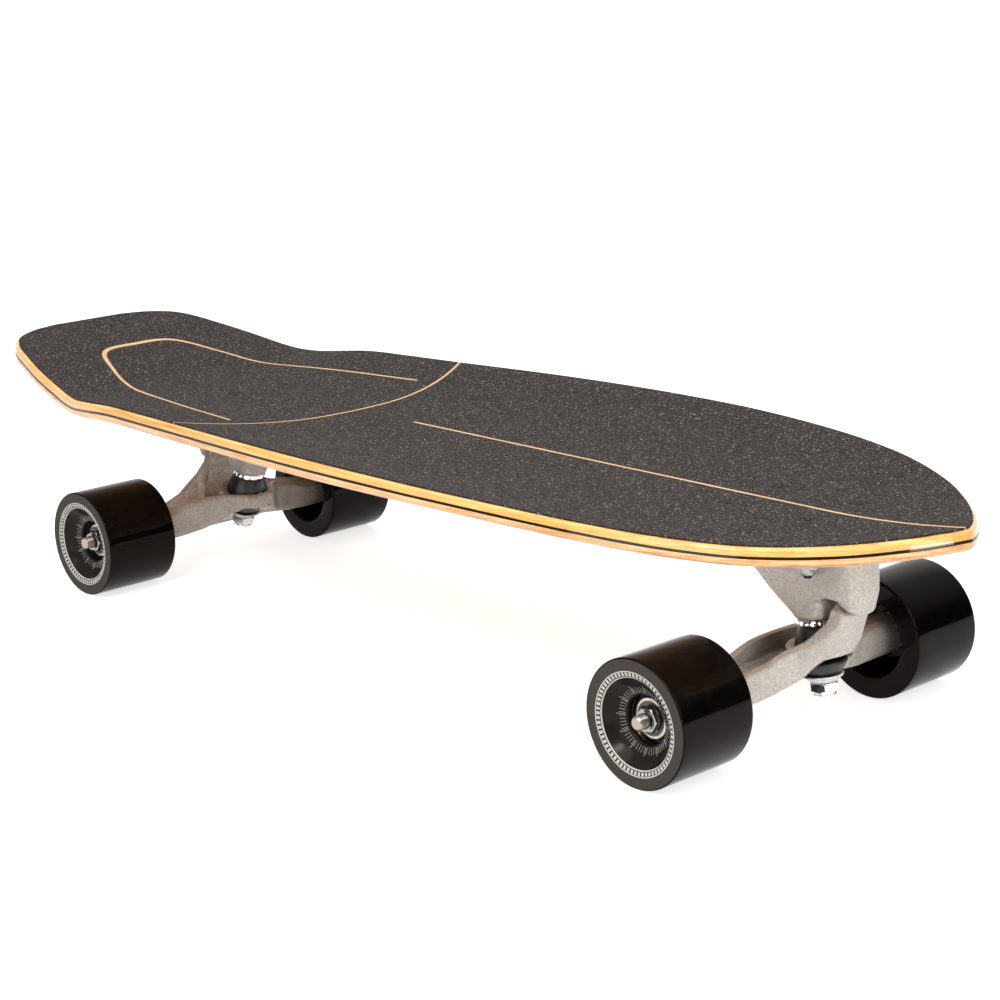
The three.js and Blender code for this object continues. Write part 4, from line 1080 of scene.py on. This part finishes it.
# Puts a part that stands on zero between low and high, or turned over between them
def between(part, low, high, upright):
    lifted = Matrix.Translation((0, 0, low))
    return placed(part, lifted if upright else flip(low, high) @ lifted)


# A cup washer, its rim upward; the crimped one has dents round its wall
def washerParts(low, high, opensUp):
    hole, wall, rim = kingpin["radius"] + kingpin["play"], washer["wall"], washer["rim"]
    base = washer["base" if opensUp else "crimpedBase"]
    bend, foot, drop = base - washer["footBend"], washer["footRise"], washer["rimDrop"]
    reach = high - low
    profile = [(hole, 0), (bend, 0)]
    profile += rounded((bend, 0), (base, 0), (base + washer["footOut"], foot))[1:]
    profile += [(base + (rim - base) * s, foot + (reach - foot - drop) * s) for s in washer["wallShares"]]
    profile += rounded((rim - washer["rimLean"], reach - drop), (rim, reach), (rim - wall, reach))
    profile += [(base - washer["innerTop"], wall + washer["innerRise"]), (base - washer["innerFoot"], wall)]

    def dents(angles, ring, height):
        swing = 1 - np.abs(np.cos(angles * washer["dents"] / 2)) ** washer["dentPower"]
        return np.where(ring > base, ring - washer["dentDepth"] * swing * np.clip(height / reach, 0, 1), ring)

    part = turned(profile + [(hole, wall)], washer["facets"], None if opensUp else dents)
    return between(part, low, high, opensUp)


# A bushing with its narrow end in a cup washer; wideUp says which end is wide
def bushingParts(low, high, wideUp):
    hole = kingpin["radius"] + kingpin["play"]
    wide, neck, foot, cup = bushing["wide"], bushing["neck"], bushing["foot"], bushing["cup"]
    tall = high - low
    top = tall - bushing["edge"]
    profile = [(hole, 0), (foot, 0), (foot + bushing["footOut"], cup - bushing["footDrop"]), (neck, cup)]
    for share in np.linspace(0, 1, bushing["rows"])[1:-1]:
        bulge = bushing["bulge"] * math.sin(share * math.pi)
        profile.append((neck + (wide - neck) * share + bulge, cup + (top - cup) * share))
    profile += rounded((wide, top), (wide, tall), (wide - bushing["edge"], tall)) + [(hole, tall)]
    profile += [(hole, tall * share) for share in bushing["boreShares"]]
    return between(turned(profile), low, high, wideUp)


def kingpinParts(low, high):
    r, pitch = kingpin["radius"], kingpin["threadPitch"]
    threadLow, threadHigh = low + kingpin["threadLow"], low + kingpin["threadHigh"]
    headLow = high - kingpin["headTall"]
    profile = [(0, low), (r - kingpin["tipIn"], low), (r - kingpin["tipOut"], low + kingpin["tipRise"])]
    profile += [(r, h) for h in np.arange(threadLow, threadHigh, pitch / kingpin["threadRows"])]
    profile += [(r, headLow), (r, high), (0, high)]
    limit = threadLimit(pitch, kingpin["threadDepth"], threadLow, threadHigh)
    flat, corner, chamfer = kingpin["across"] / 2, kingpin["across"] / math.sqrt(3), kingpin["headChamfer"]
    head = [(0, headLow), (flat, headLow), (corner, headLow + chamfer)]
    head += [(corner, high - chamfer), (flat, high), (0, high)]
    return [turned(profile, kingpin["facets"], limit), turned(head, limit=hexLimit(kingpin["across"]))]


def makeKingpinStack(truck):
    origin, direction = kingpinAxis(truck)
    onAxis = axisFrame(origin, direction)

    def reach(node):
        return stretchAlong(f"{truck}_{node}", origin, direction)

    def add(name, node, parts, material):
        piece = meshPiece(f"{truck}{name}", [placed(part, onAxis) for part in parts], materials[material])
        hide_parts(f"{truck}_{node}")
        return piece

    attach(add("Kingpin", "kingpin", kingpinParts(*reach("kingpin")), "zinc"), "root")
    low, high = reach("kingpin_nut")
    turn = Matrix.Rotation(math.radians(kingpin["nutTurn"][truck]), 4, "Z")
    nut = nutParts(kingpin["across"], low, high, kingpin["radius"] + kingpin["nutPlay"])
    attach(add("KingpinNut", "kingpin_nut", [placed(nut, turn @ flip(low, high))], "zinc"), "root")
    cup = washerParts(*reach("lower_washer"), True)
    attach(add("LowerWasher", "lower_washer", [cup], "washer"), "root")
    cup = washerParts(*reach("upper_washer"), False)
    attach(add("UpperWasher", "upper_washer", [cup], "crimped"), "root")
    low, high = reach("lower_bushing")
    lower = add("LowerBushing", "lower_bushing", [bushingParts(low, high, True)], "bushing")
    foot = onAxis @ Vector((0, 0, low + bushing["footHold"]))
    seat = onAxis @ Vector((0, 0, high - bushing["seatHold"]))
    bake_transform(lower)
    low, high = reach("upper_bushing")
    upper = add("UpperBushing", "upper_bushing", [bushingParts(low, high, False)], "bushing")
    top = onAxis @ Vector((0, 0, high - bushing["footHold"]))
    seat = onAxis @ Vector((0, 0, low + bushing["seatHold"]))
    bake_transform(upper)
    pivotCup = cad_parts[f"{truck}_pivot_cup"].data
    pivotCup.materials.clear()
    pivotCup.materials.append(materials["cup"])


for truck in trucks:
    makeKingpinStack(truck)
print("kingpin stacks made")


# Wheels and what turns with them, each along its axle with outward as +Z

wheel = {
    "radius": 34.5 * mm, "width": 51 * mm, "outerLip": 1 * mm, "innerLip": 1.6 * mm, "lipSteps": 6,
    "faceInner": 27.9 * mm, "faceStart": 0.2 * mm, "faceStop": 0.4 * mm,
    "ringInner": 24.2 * mm, "ringRows": 8, "bowlDepth": 8.6 * mm, "bowlStep": 0.9 * mm,
    "bowlRows": 14, "bowlSheen": 0.22, "bowlPast": 1 * mm,
    "mouth": 13.2 * mm, "mouthRound": 0.8 * mm, "mouthStep": 0.6 * mm, "treadShare": 0.8, "treadRows": 9,
    "core": 9.3 * mm, "seatPlay": 0.1 * mm, "seatDrop": 0.2 * mm, "seatChamfer": 0.4 * mm, "near": 0.1 * mm,
    "innerOpening": 22.5 * mm, "openingRound": 0.8 * mm, "openingLean": 0.4 * mm, "openingDepth": 1.2 * mm,
    "innerThroat": 15 * mm, "recess": 2.8 * mm, "facets": 144, "sharpAngle": 28,
}
bearing = {
    "radius": 11 * mm, "bore": 4.1 * mm, "wall": 1.9 * mm, "wallTop": 1.7 * mm, "chamfer": 0.3 * mm,
    "round": 0.5 * mm, "innerFacets": 72, "shieldOut": 1.85 * mm, "shieldIn": 6.15 * mm,
    "shieldLip": 0.3 * mm, "lipDrop": 0.55 * mm, "shieldDrop": 0.35 * mm,
    "stepHigh": 0.5 * mm, "stepLow": 0.1 * mm, "stepDrop": 0.6 * mm,
}
axle = {
    "radius": 3.95 * mm, "threadLength": 12 * mm, "threadPitch": 1.25 * mm, "threadDepth": 0.55 * mm,
    "threadRows": 6, "threadStop": 0.9 * mm, "grooveStop": 1 * mm, "facets": 48,
    "tip": [(0.15 * mm, 0.8 * mm), (0.9 * mm, 0.05 * mm), (1.2 * mm, 0)],  # in from the side and the end
    "nutAcross": 12.7 * mm, "nutTall": 5.2 * mm, "bore": 4.1 * mm,
    "washerBore": 4.2 * mm, "washerRadius": 7.6 * mm, "washerChamfer": 0.2 * mm, "washerFacets": 64,
}
wheelPrint = {
    "lift": 0.06 * mm, "patchRows": 6, "ringRows": 4, "outerCircle": (0.85 * mm, 0.25 * mm),
    "innerCircle": 0.3 * mm, "dashes": 64, "dashShare": 0.62, "dashLow": 0.7 * mm, "dashHigh": 1.1 * mm,
    "ticks": 60, "longEvery": 5, "tickLow": 14.4 * mm, "tickHigh": 17.6 * mm, "longHigh": 18.8 * mm,
    "tickWidth": 0.14 * mm, "longShare": 1.2,
}
wheelFace = wheel["width"] / 2


# The bowl's surface, from its floor at the mouth up to the printed ring
def bowlHeight(radius):
    share = np.clip((radius - wheel["mouth"]) / (wheel["ringInner"] - wheel["mouth"]), 0, 1)
    rise = wheel["bowlDepth"] - wheel["bowlStep"]
    return float(wheelFace - wheel["bowlDepth"] + rise * (1 - np.cos(share * math.pi / 2)))


# The bowl's surface and the printed ring's, which curves from the bowl up to the face
def inkHeight(radius):
    start = wheel["ringInner"]
    if radius < start:
        return bowlHeight(radius)
    left = 1 - np.clip((radius - start) / (wheel["faceInner"] - start), 0, 1)
    rim = bowlHeight(start)
    return rim + (wheelFace - rim) * (1 - left ** 2)


def wheelProfile(bearings):
    radius, mouth, ringInner = wheel["radius"], wheel["mouth"], wheel["ringInner"]
    play, chamfer = wheel["seatPlay"], wheel["seatChamfer"]
    seat = bearing["radius"] + play
    inner, outer = bearings
    step = outer[1] - wheel["seatDrop"]
    profile = [(wheel["core"], inner[1] + play), (wheel["core"], outer[0] - play), (seat, outer[0] - play)]
    profile += [(seat, step - chamfer), (seat + chamfer, step), (mouth - wheel["mouthStep"], step)]
    profile += [(mouth, step + wheel["mouthStep"])]
    radii = np.linspace(mouth, ringInner, wheel["bowlRows"])[1:]
    floor = wheelFace - wheel["bowlDepth"]
    profile += rounded((mouth, floor - wheel["mouthRound"]), (mouth, floor), (radii[0], bowlHeight(radii[0])))
    profile += [(r, bowlHeight(r)) for r in radii[1:]]
    profile += [(r, inkHeight(r)) for r in np.linspace(ringInner, wheel["faceInner"], wheel["ringRows"])[1:]]
    lip = wheel["outerLip"]
    steps = wheel["lipSteps"]
    ends = (wheel["faceInner"] + wheel["faceStart"], radius - lip - wheel["faceStop"])
    profile += [(r, wheelFace) for r in ends]
    profile += rounded((radius - lip, wheelFace), (radius, wheelFace), (radius, wheelFace - lip), steps)
    heights = np.linspace(wheelFace, -wheelFace, wheel["treadRows"])[1:-1] * wheel["treadShare"]
    profile += [(radius, h) for h in heights]
    lip = wheel["innerLip"]
    profile += rounded((radius, -wheelFace + lip), (radius, -wheelFace), (radius - lip, -wheelFace), steps)
    opening = wheel["innerOpening"]
    profile += rounded((opening + wheel["openingRound"], -wheelFace), (opening, -wheelFace),
                       (opening - wheel["openingLean"], -wheelFace + wheel["openingDepth"]))
    profile += [(wheel["innerThroat"], inner[0] - play), (seat, inner[0] - play)]
    return profile + [(seat, inner[1] + play)]


# The wheel, and what its face attribute is at each point
def wheelParts(bearings):
    points, faces = turned(wheelProfile(bearings), wheel["facets"])
    radii = np.hypot(points[:, 0], points[:, 1])
    near = wheel["near"]
    edge = wheel["radius"] - wheel["outerLip"] + near
    ring = wheel["faceInner"] - near
    cut = (radii > ring) & (points[:, 2] > wheelFace - near) & (radii < edge)
    bowl = (radii < ring) & (points[:, 2] > wheelFace - wheel["bowlDepth"] - wheel["bowlPast"])
    return (points, faces), np.where(cut, 1, np.where(bowl, wheel["bowlSheen"], 0))


# Both races of a bearing
def bearingParts(low, high):
    r, bore, edge, chamfer = bearing["radius"], bearing["bore"], bearing["round"], bearing["chamfer"]
    side, top = bearing["wall"], bearing["wallTop"]
    outer = [(r - side, low + chamfer), (r - top, low)]
    outer += rounded((r - edge, low), (r, low), (r, low + edge))
    outer += rounded((r, high - edge), (r, high), (r - edge, high))
    outer += [(r - top, high), (r - side, high - chamfer)]
    inner = [(bore, low), (bore + top, low), (bore + side, low + chamfer), (bore + side, high - chamfer),
             (bore + top, high), (bore + chamfer, high), (bore, high - chamfer)]
    return [turned(outer), turned(inner, bearing["innerFacets"])]


# A stepped ring between the races that stands for both shields
def shieldParts(low, high):
    outside, inside = bearing["radius"] - bearing["shieldOut"], bearing["shieldIn"]
    middle = (outside + inside) / 2
    level, deep = high - bearing["shieldDrop"], high - bearing["stepDrop"]
    top = [(outside, high - bearing["lipDrop"]), (outside - bearing["shieldLip"], level),
           (middle + bearing["stepHigh"], level), (middle + bearing["stepLow"], deep), (inside, deep)]
    return [turned(top + [(r, low + high - h) for r, h in reversed(top)])]


def axleParts(half):
    r, low, high = axle["radius"], half - axle["threadLength"], half - axle["threadStop"]
    end = [(r, h) for h in np.arange(low, high, axle["threadPitch"] / axle["threadRows"])]
    end += [(r - inward, half - down) for inward, down in axle["tip"]] + [(0, half)]
    thread = threadLimit(axle["threadPitch"], axle["threadDepth"], low, high)

    def limit(angles, ring, height):
        return thread(angles, ring, abs(height))

    return [turned([(a, -h) for a, h in reversed(end)] + end, axle["facets"], limit)]


def makeAxle(truck):
    low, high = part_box(f"{truck}_axle")
    half = (high.y - low.y) / 2
    along = axisFrame(boxMiddle(f"{truck}_axle"), (0, 1, 0))
    parts = axleParts(half)
    points = parts[0][0]
    depth = axle["radius"] - np.hypot(points[:, 0], points[:, 1])
    threaded = np.abs(points[:, 2]) < half - axle["grooveStop"]
    groove = np.where(threaded, np.clip(depth / axle["threadDepth"], 0, 1), 0)
    parts = [placed(part, along) for part in parts]
    piece = meshPiece(f"{truck}Axle", parts, materials["stud"], layers={"groove": groove})
    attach(piece, f"{truck}_truck")
    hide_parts(f"{truck}_axle")


# Ticks and dashes printed round the wheel: one shape repeated about Z
def ringTree():
    tree = ShapeTree("printedRing", {"Count": "Int", "Turn": "Float"})
    count = tree.given("Count")
    share = tree.node("GeometryNodeInputIndex").maths("DIVIDE", count)
    angle = share.maths("MULTIPLY_ADD", 2 * math.pi, tree.given("Turn"))
    tree.end(tree.node("GeometryNodeInstanceOnPoints", {}, {
        "Points": tree.node("GeometryNodeMeshLine", {}, {"Offset": (0, 0, 0), "Count": count}),
        "Instance": tree.given("Geometry"),
        "Rotation": tree.node("ShaderNodeCombineXYZ", {}, {"Z": angle}),
    }))
    return tree


printTree = ringTree()


def repeated(part, count, turn):
    piece = meshPiece("printTool", [part], materials["print"])
    printTree.runOn(piece, {"Count": count, "Turn": turn, "Finish": materials["print"]})
    points = meshPoints(piece.data)
    faces = [tuple(p.vertices) for p in piece.data.polygons]
    bpy.data.objects.remove(piece)
    return points, faces


# A thin inked patch on the wheel's face, from one radius to another
def inkPatch(lowRadius, highRadius, width):
    steps, lift = wheelPrint["patchRows"], wheelPrint["lift"]
    points = []
    for level in (-lift, lift):
        for r in np.linspace(lowRadius, highRadius, steps):
            h = inkHeight(r) + level
            points += [(r, -width / 2, h), (r, width / 2, h)]
    count = 2 * steps
    faces = []
    for a in range(0, count - 2, 2):
        faces.append((a + count, a + 2 + count, a + 3 + count, a + 1 + count))
        faces.append((a, a + 1, a + 3, a + 2))
        faces.append((a, a + 2, a + 2 + count, a + count))
        faces.append((a + 1, a + 1 + count, a + 3 + count, a + 3))
    faces.append((0, count, count + 1, 1))
    faces.append((count - 2, count - 1, 2 * count - 1, 2 * count - 2))
    return np.array(points), faces


def inkRing(lowRadius, highRadius):
    radii = np.linspace(lowRadius, highRadius, wheelPrint["ringRows"])
    lift = wheelPrint["lift"]
    profile = [(r, inkHeight(r) + lift) for r in radii] + [(r, inkHeight(r) - lift) for r in reversed(radii)]
    return turned(profile, wheel["facets"])


def wheelPrintParts():
    low, high = wheel["ringInner"], wheel["faceInner"]
    dashes, ticks = wheelPrint["dashes"], wheelPrint["ticks"]
    wide, narrow = wheelPrint["outerCircle"]
    rim = wheelPrint["innerCircle"]
    dashWidth = 2 * math.pi * (low + high) / 2 / dashes * wheelPrint["dashShare"]
    dash = inkPatch(low + wheelPrint["dashLow"], high - wheelPrint["dashHigh"], dashWidth)
    start, width = wheelPrint["tickLow"], wheelPrint["tickWidth"]
    tick = inkPatch(start, wheelPrint["tickHigh"], width)
    longTick = inkPatch(start, wheelPrint["longHigh"], width * wheelPrint["longShare"])
    return [
        inkRing(high - wide, high - narrow), inkRing(low - rim, low + rim), repeated(dash, dashes, 0.0),
        repeated(tick, ticks, math.pi / ticks), repeated(longTick, ticks // wheelPrint["longEvery"], 0.0),
    ]


def speedWasherPart(low, high):
    bore, radius, chamfer = axle["washerBore"], axle["washerRadius"], axle["washerChamfer"]
    return turned([(bore, low), (radius - chamfer, low), (radius, low + chamfer), (radius, high - chamfer),
                   (radius - chamfer, high), (bore, high)], axle["washerFacets"])


def makeWheel(truck, side):
    name = f"{truck}_{side}"
    body = f"{name}_wheel"
    middle = boxMiddle(body)
    outward = (0, sides[side], 0)
    onAxle = axisFrame(middle, outward)

    def make(label, parts, material, **more):
        parts = [placed(part, onAxle) for part in parts]
        return meshPiece(f"{truck}{side.title()}{label}", parts, materials[material], **more)

    bearings = [stretchAlong(f"{name}_{which}_bearing", middle, outward) for which in ("inner", "outer")]
    bearings[1] = (bearings[1][0], bearings[1][1] - wheel["recess"])
    tread, face = wheelParts(bearings)
    piece = make("Wheel", [tread], "urethane", sharp=wheel["sharpAngle"], layers={"face": face})
    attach(piece, body)
    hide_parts(body)
    ink = make("WheelPrint", wheelPrintParts(), "print")
    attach(ink, body)
    for which, (near, far) in zip(("inner", "outer"), bearings):
        rings = make(f"{which.title()}Bearing", bearingParts(near, far), "race")
        shields = make(f"{which.title()}Shield", shieldParts(near, far), "shield")
        for made in (rings, shields):
            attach(made, body)
        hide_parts(f"{name}_{which}_bearing")
    near = stretchAlong(f"{name}_axle_nut", middle, outward)[0] - wheel["recess"]
    nut = nutParts(axle["nutAcross"], near, near + axle["nutTall"], axle["bore"])
    nut = make("AxleNut", [nut], "axleZinc")
    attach(nut, f"{truck}_truck")
    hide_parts(f"{name}_axle_nut")
    near, far = stretchAlong(f"{name}_speed_washer", middle, outward)
    ring = make("SpeedWasher", [speedWasherPart(near, far)], "zinc")
    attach(ring, f"{truck}_truck")
    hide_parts(f"{name}_speed_washer")


for truck in trucks:
    makeAxle(truck)
    for side in sides:
        makeWheel(truck, side)
print("wheels made")


# Deck bolts with crossed heads, and their nuts: one tree puts a shape at each bolt's place

bolts = {
    "shaftRadius": 2.4 * mm, "longer": 1.8 * mm, "pitch": 0.8 * mm, "threadDepth": 0.25 * mm,
    "threadHigh": 14 * mm, "threadLow": 0.4 * mm, "firstRow": 0.5 * mm,
    "threadRows": 5, "tipIn": 0.5 * mm, "facets": 32,
    "headRadius": 4.7 * mm, "headDepth": 2.7 * mm, "neckDrop": 0.2 * mm,
    "rimIn": 0.05 * mm, "rimDrop": 0.25 * mm, "topIn": 0.1 * mm, "topDrop": 0.05 * mm,
    "crossLength": 5 * mm, "crossWidth": 0.9 * mm, "crossDepth": 1.5 * mm,
    "nutAcross": 9.5 * mm, "nutTall": 3.8 * mm, "nutPlay": 0.1 * mm, "sharpAngle": 32,
}


def scatterTree():
    tree = ShapeTree("atEachBolt", {"Shape": "Object"})
    shape = tree.node("GeometryNodeObjectInfo", {}, {"Object": tree.given("Shape")}, "Geometry")
    sockets = {"Points": tree.given("Geometry"), "Instance": shape}
    tree.end(tree.node("GeometryNodeInstanceOnPoints", {}, sockets))
    return tree


boltTree = scatterTree()


def scattered(name, places, shape, material, nodes):
    mesh = bpy.data.meshes.new(name)
    mesh.from_pydata(places, [], [])
    piece = bpy.data.objects.new(name, mesh)
    bpy.context.scene.collection.objects.link(piece)
    boltTree.runOn(piece, {"Shape": shape, "Finish": material})
    bpy.data.objects.remove(shape)
    piece.data.shade_smooth()
    piece.data.set_sharp_from_angle(angle=math.radians(bolts["sharpAngle"]))
    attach(piece, "root")
    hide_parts(*nodes)


def boltShape(length):
    r, head, depth = bolts["shaftRadius"], bolts["headRadius"], bolts["crossDepth"]
    top, threadHigh = -bolts["topDrop"], bolts["threadHigh"] - length
    rows = np.arange(bolts["firstRow"] - length, threadHigh, bolts["pitch"] / bolts["threadRows"])
    profile = [(0, -length), (r - bolts["tipIn"], -length)] + [(r, h) for h in rows]
    profile += [(r, -bolts["headDepth"] - bolts["neckDrop"]), (head - bolts["rimIn"], -bolts["rimDrop"])]
    profile += [(head - bolts["topIn"], top), (0, top)]
    limit = threadLimit(bolts["pitch"], bolts["threadDepth"], bolts["threadLow"] - length, threadHigh)
    piece = meshPiece("boltShape", [turned(profile, bolts["facets"], limit)], materials["black"])
    long, thin = bolts["crossLength"], bolts["crossWidth"]
    sizes = ((long, thin, 2 * depth), (thin, long, 2 * depth))
    cutWith(piece, [meshPiece("crossTool", [boxPart(size)], materials["black"]) for size in sizes])
    return piece


def makeBolts():
    low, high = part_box(boltNodes[0])
    shape = boltShape(high.z - low.z + bolts["longer"])
    scattered("deckBolts", boltPlaces, shape, materials["head"], boltNodes)
    tall = bolts["nutTall"]
    nut = nutParts(bolts["nutAcross"], -tall, 0, bolts["shaftRadius"] + bolts["nutPlay"])
    shape = meshPiece("nutShape", [placed(nut, flip(-tall, 0))], materials["boltZinc"])
    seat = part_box(boltNutNodes[0])[1].z - casting["padDrop"]
    places = [(x, y, seat) for x, y, _ in boltPlaces]
    scattered("deckBoltNuts", places, shape, materials["boltZinc"], boltNutNodes)


makeBolts()
print("bolts made")


# Floor, lamps and camera

studio = {
    "floorSize": 30, "floorTone": 0.65, "floorRough": 0.95, "floorSpecular": 0.1,
    "floorLift": 0.74, "floorGloss": 0.9,
    "topSpread": (0.3, 0.8, 0, 0.9), "wallSpread": (0.35, 0.8, 0, 1),  # light by height, and by the wall
}
lamps = {  # place, target, size and power
    "keyLamp": ((0.5, -1.2, 1.6), (0, 0, 0.05), (1.6, 1.0), 20),
    "topLamp": ((-0.7, 0.4, 1.9), (0, 0, 0.05), (2.2, 1.2), 12),
    "fillLamp": ((1.6, 0.3, 0.9), (0.1, 0, 0.05), (1.0, 1.0), 8),
    "spotLamp": ((0.62, -1.14, 1.06), (0.3, -0.1, 0.05), (0.25, 0.25), 6),
    "noseLamp": ((1.53, -0.33, 0.24), (0.38, 0, 0.12), (0.42, 0.085), 1.6),
    "lowLamp": ((0.3, -1.65, 0.36), (0, 0, 0.06), (1.4, 0.6), 5.5),
}
view = {  # the photograph's camera, its angles in degrees and its focal length in pixels of the picture
    "azimuth": math.radians(48.254), "elevation": math.radians(14.597), "roll": math.radians(-2.135),
    "place": (1.036385, -0.879692, 0.432776), "focal": 2284.255, "pixels": 1000,
    "sensor": 36, "clip": (0.05, 100),
}


def makeFloor():
    half = studio["floorSize"] / 2
    corners = [(-half, -half, 0), (half, -half, 0), (half, half, 0), (-half, half, 0)]
    mesh = bpy.data.meshes.new("floor")
    mesh.from_pydata(corners, [], [(0, 1, 2, 3)])
    floor = bpy.data.objects.new("floor", mesh)
    bpy.context.scene.collection.objects.link(floor)
    paint = Paint("paleFloor", {
        "Base Color": grey(studio["floorTone"]), "Roughness": studio["floorRough"],
        "Specular IOR Level": studio["floorSpecular"], "Emission Strength": studio["floorLift"],
    })
    glossy = paint.node("ShaderNodeLightPath", out="Is Glossy Ray") * studio["floorGloss"]
    seen = paint.node("ShaderNodeLightPath", out="Is Camera Ray").maths("MAXIMUM", glossy)
    mesh.materials.append(paint.feed({"Emission Color": paint.mix(seen, grey(0), grey(1))}))


# Light from above and from a pale wall behind the board; the camera sees plain white
def makeWorld():
    world = bpy.data.worlds.new("studio")
    bpy.context.scene.world = world
    world.use_nodes = True
    world.node_tree.nodes.clear()
    sky = Nodes(world.node_tree)
    direction = sky.node("ShaderNodeTexCoord", out="Generated")
    behind = (-math.sin(view["azimuth"]), math.cos(view["azimuth"]), 0)
    top = sky.node("ShaderNodeSeparateXYZ", {}, {0: direction}, "Z").spread(*studio["topSpread"])
    wall = sky.node("ShaderNodeVectorMath", {"operation": "DOT_PRODUCT"}, {0: direction, 1: behind}, "Value")
    light = top.maths("MAXIMUM", wall.spread(*studio["wallSpread"]))
    soft = sky.node("ShaderNodeBackground", {}, {"Color": light})
    white = sky.node("ShaderNodeBackground", {}, {"Color": grey(1)})
    seen = sky.node("ShaderNodeLightPath", out="Is Camera Ray")
    mixed = sky.node("ShaderNodeMixShader", {}, {"Fac": seen, 1: soft, 2: white})
    sky.node("ShaderNodeOutputWorld", {}, {"Surface": mixed})


def addLamp(name, place, target, size, power):
    lamp = bpy.data.lights.new(name, "AREA")
    lamp.shape = "RECTANGLE"
    lamp.size, lamp.size_y = size
    lamp.energy = power
    holder = bpy.data.objects.new(name, lamp)
    bpy.context.scene.collection.objects.link(holder)
    holder.location = place
    holder.rotation_euler = (Vector(target) - Vector(place)).to_track_quat("-Z", "Y").to_euler()


def makeCamera():
    azimuth, elevation, roll = view["azimuth"], view["elevation"], view["roll"]
    level = math.cos(elevation)
    back = Vector((math.sin(azimuth) * level, -math.cos(azimuth) * level, math.sin(elevation)))
    right = Vector((math.cos(azimuth), math.sin(azimuth), 0))
    up = back.cross(right)
    turnedRight = math.cos(roll) * right + math.sin(roll) * up
    turnedUp = math.cos(roll) * up - math.sin(roll) * right
    lens = bpy.data.cameras.new("camera")
    lens.sensor_width = view["sensor"]
    lens.lens = view["sensor"] * view["focal"] / view["pixels"]
    lens.clip_start, lens.clip_end = view["clip"]
    camera = bpy.data.objects.new("camera", lens)
    bpy.context.scene.collection.objects.link(camera)
    camera.matrix_world = Matrix((turnedRight, turnedUp, back)).transposed().to_4x4()
    camera.location = view["place"]
    bpy.context.scene.camera = camera


makeFloor()
makeWorld()
for name, lamp in lamps.items():
    addLamp(name, *lamp)
makeCamera()
bpy.context.scene.view_settings.view_transform = "Standard"
print("studio made")
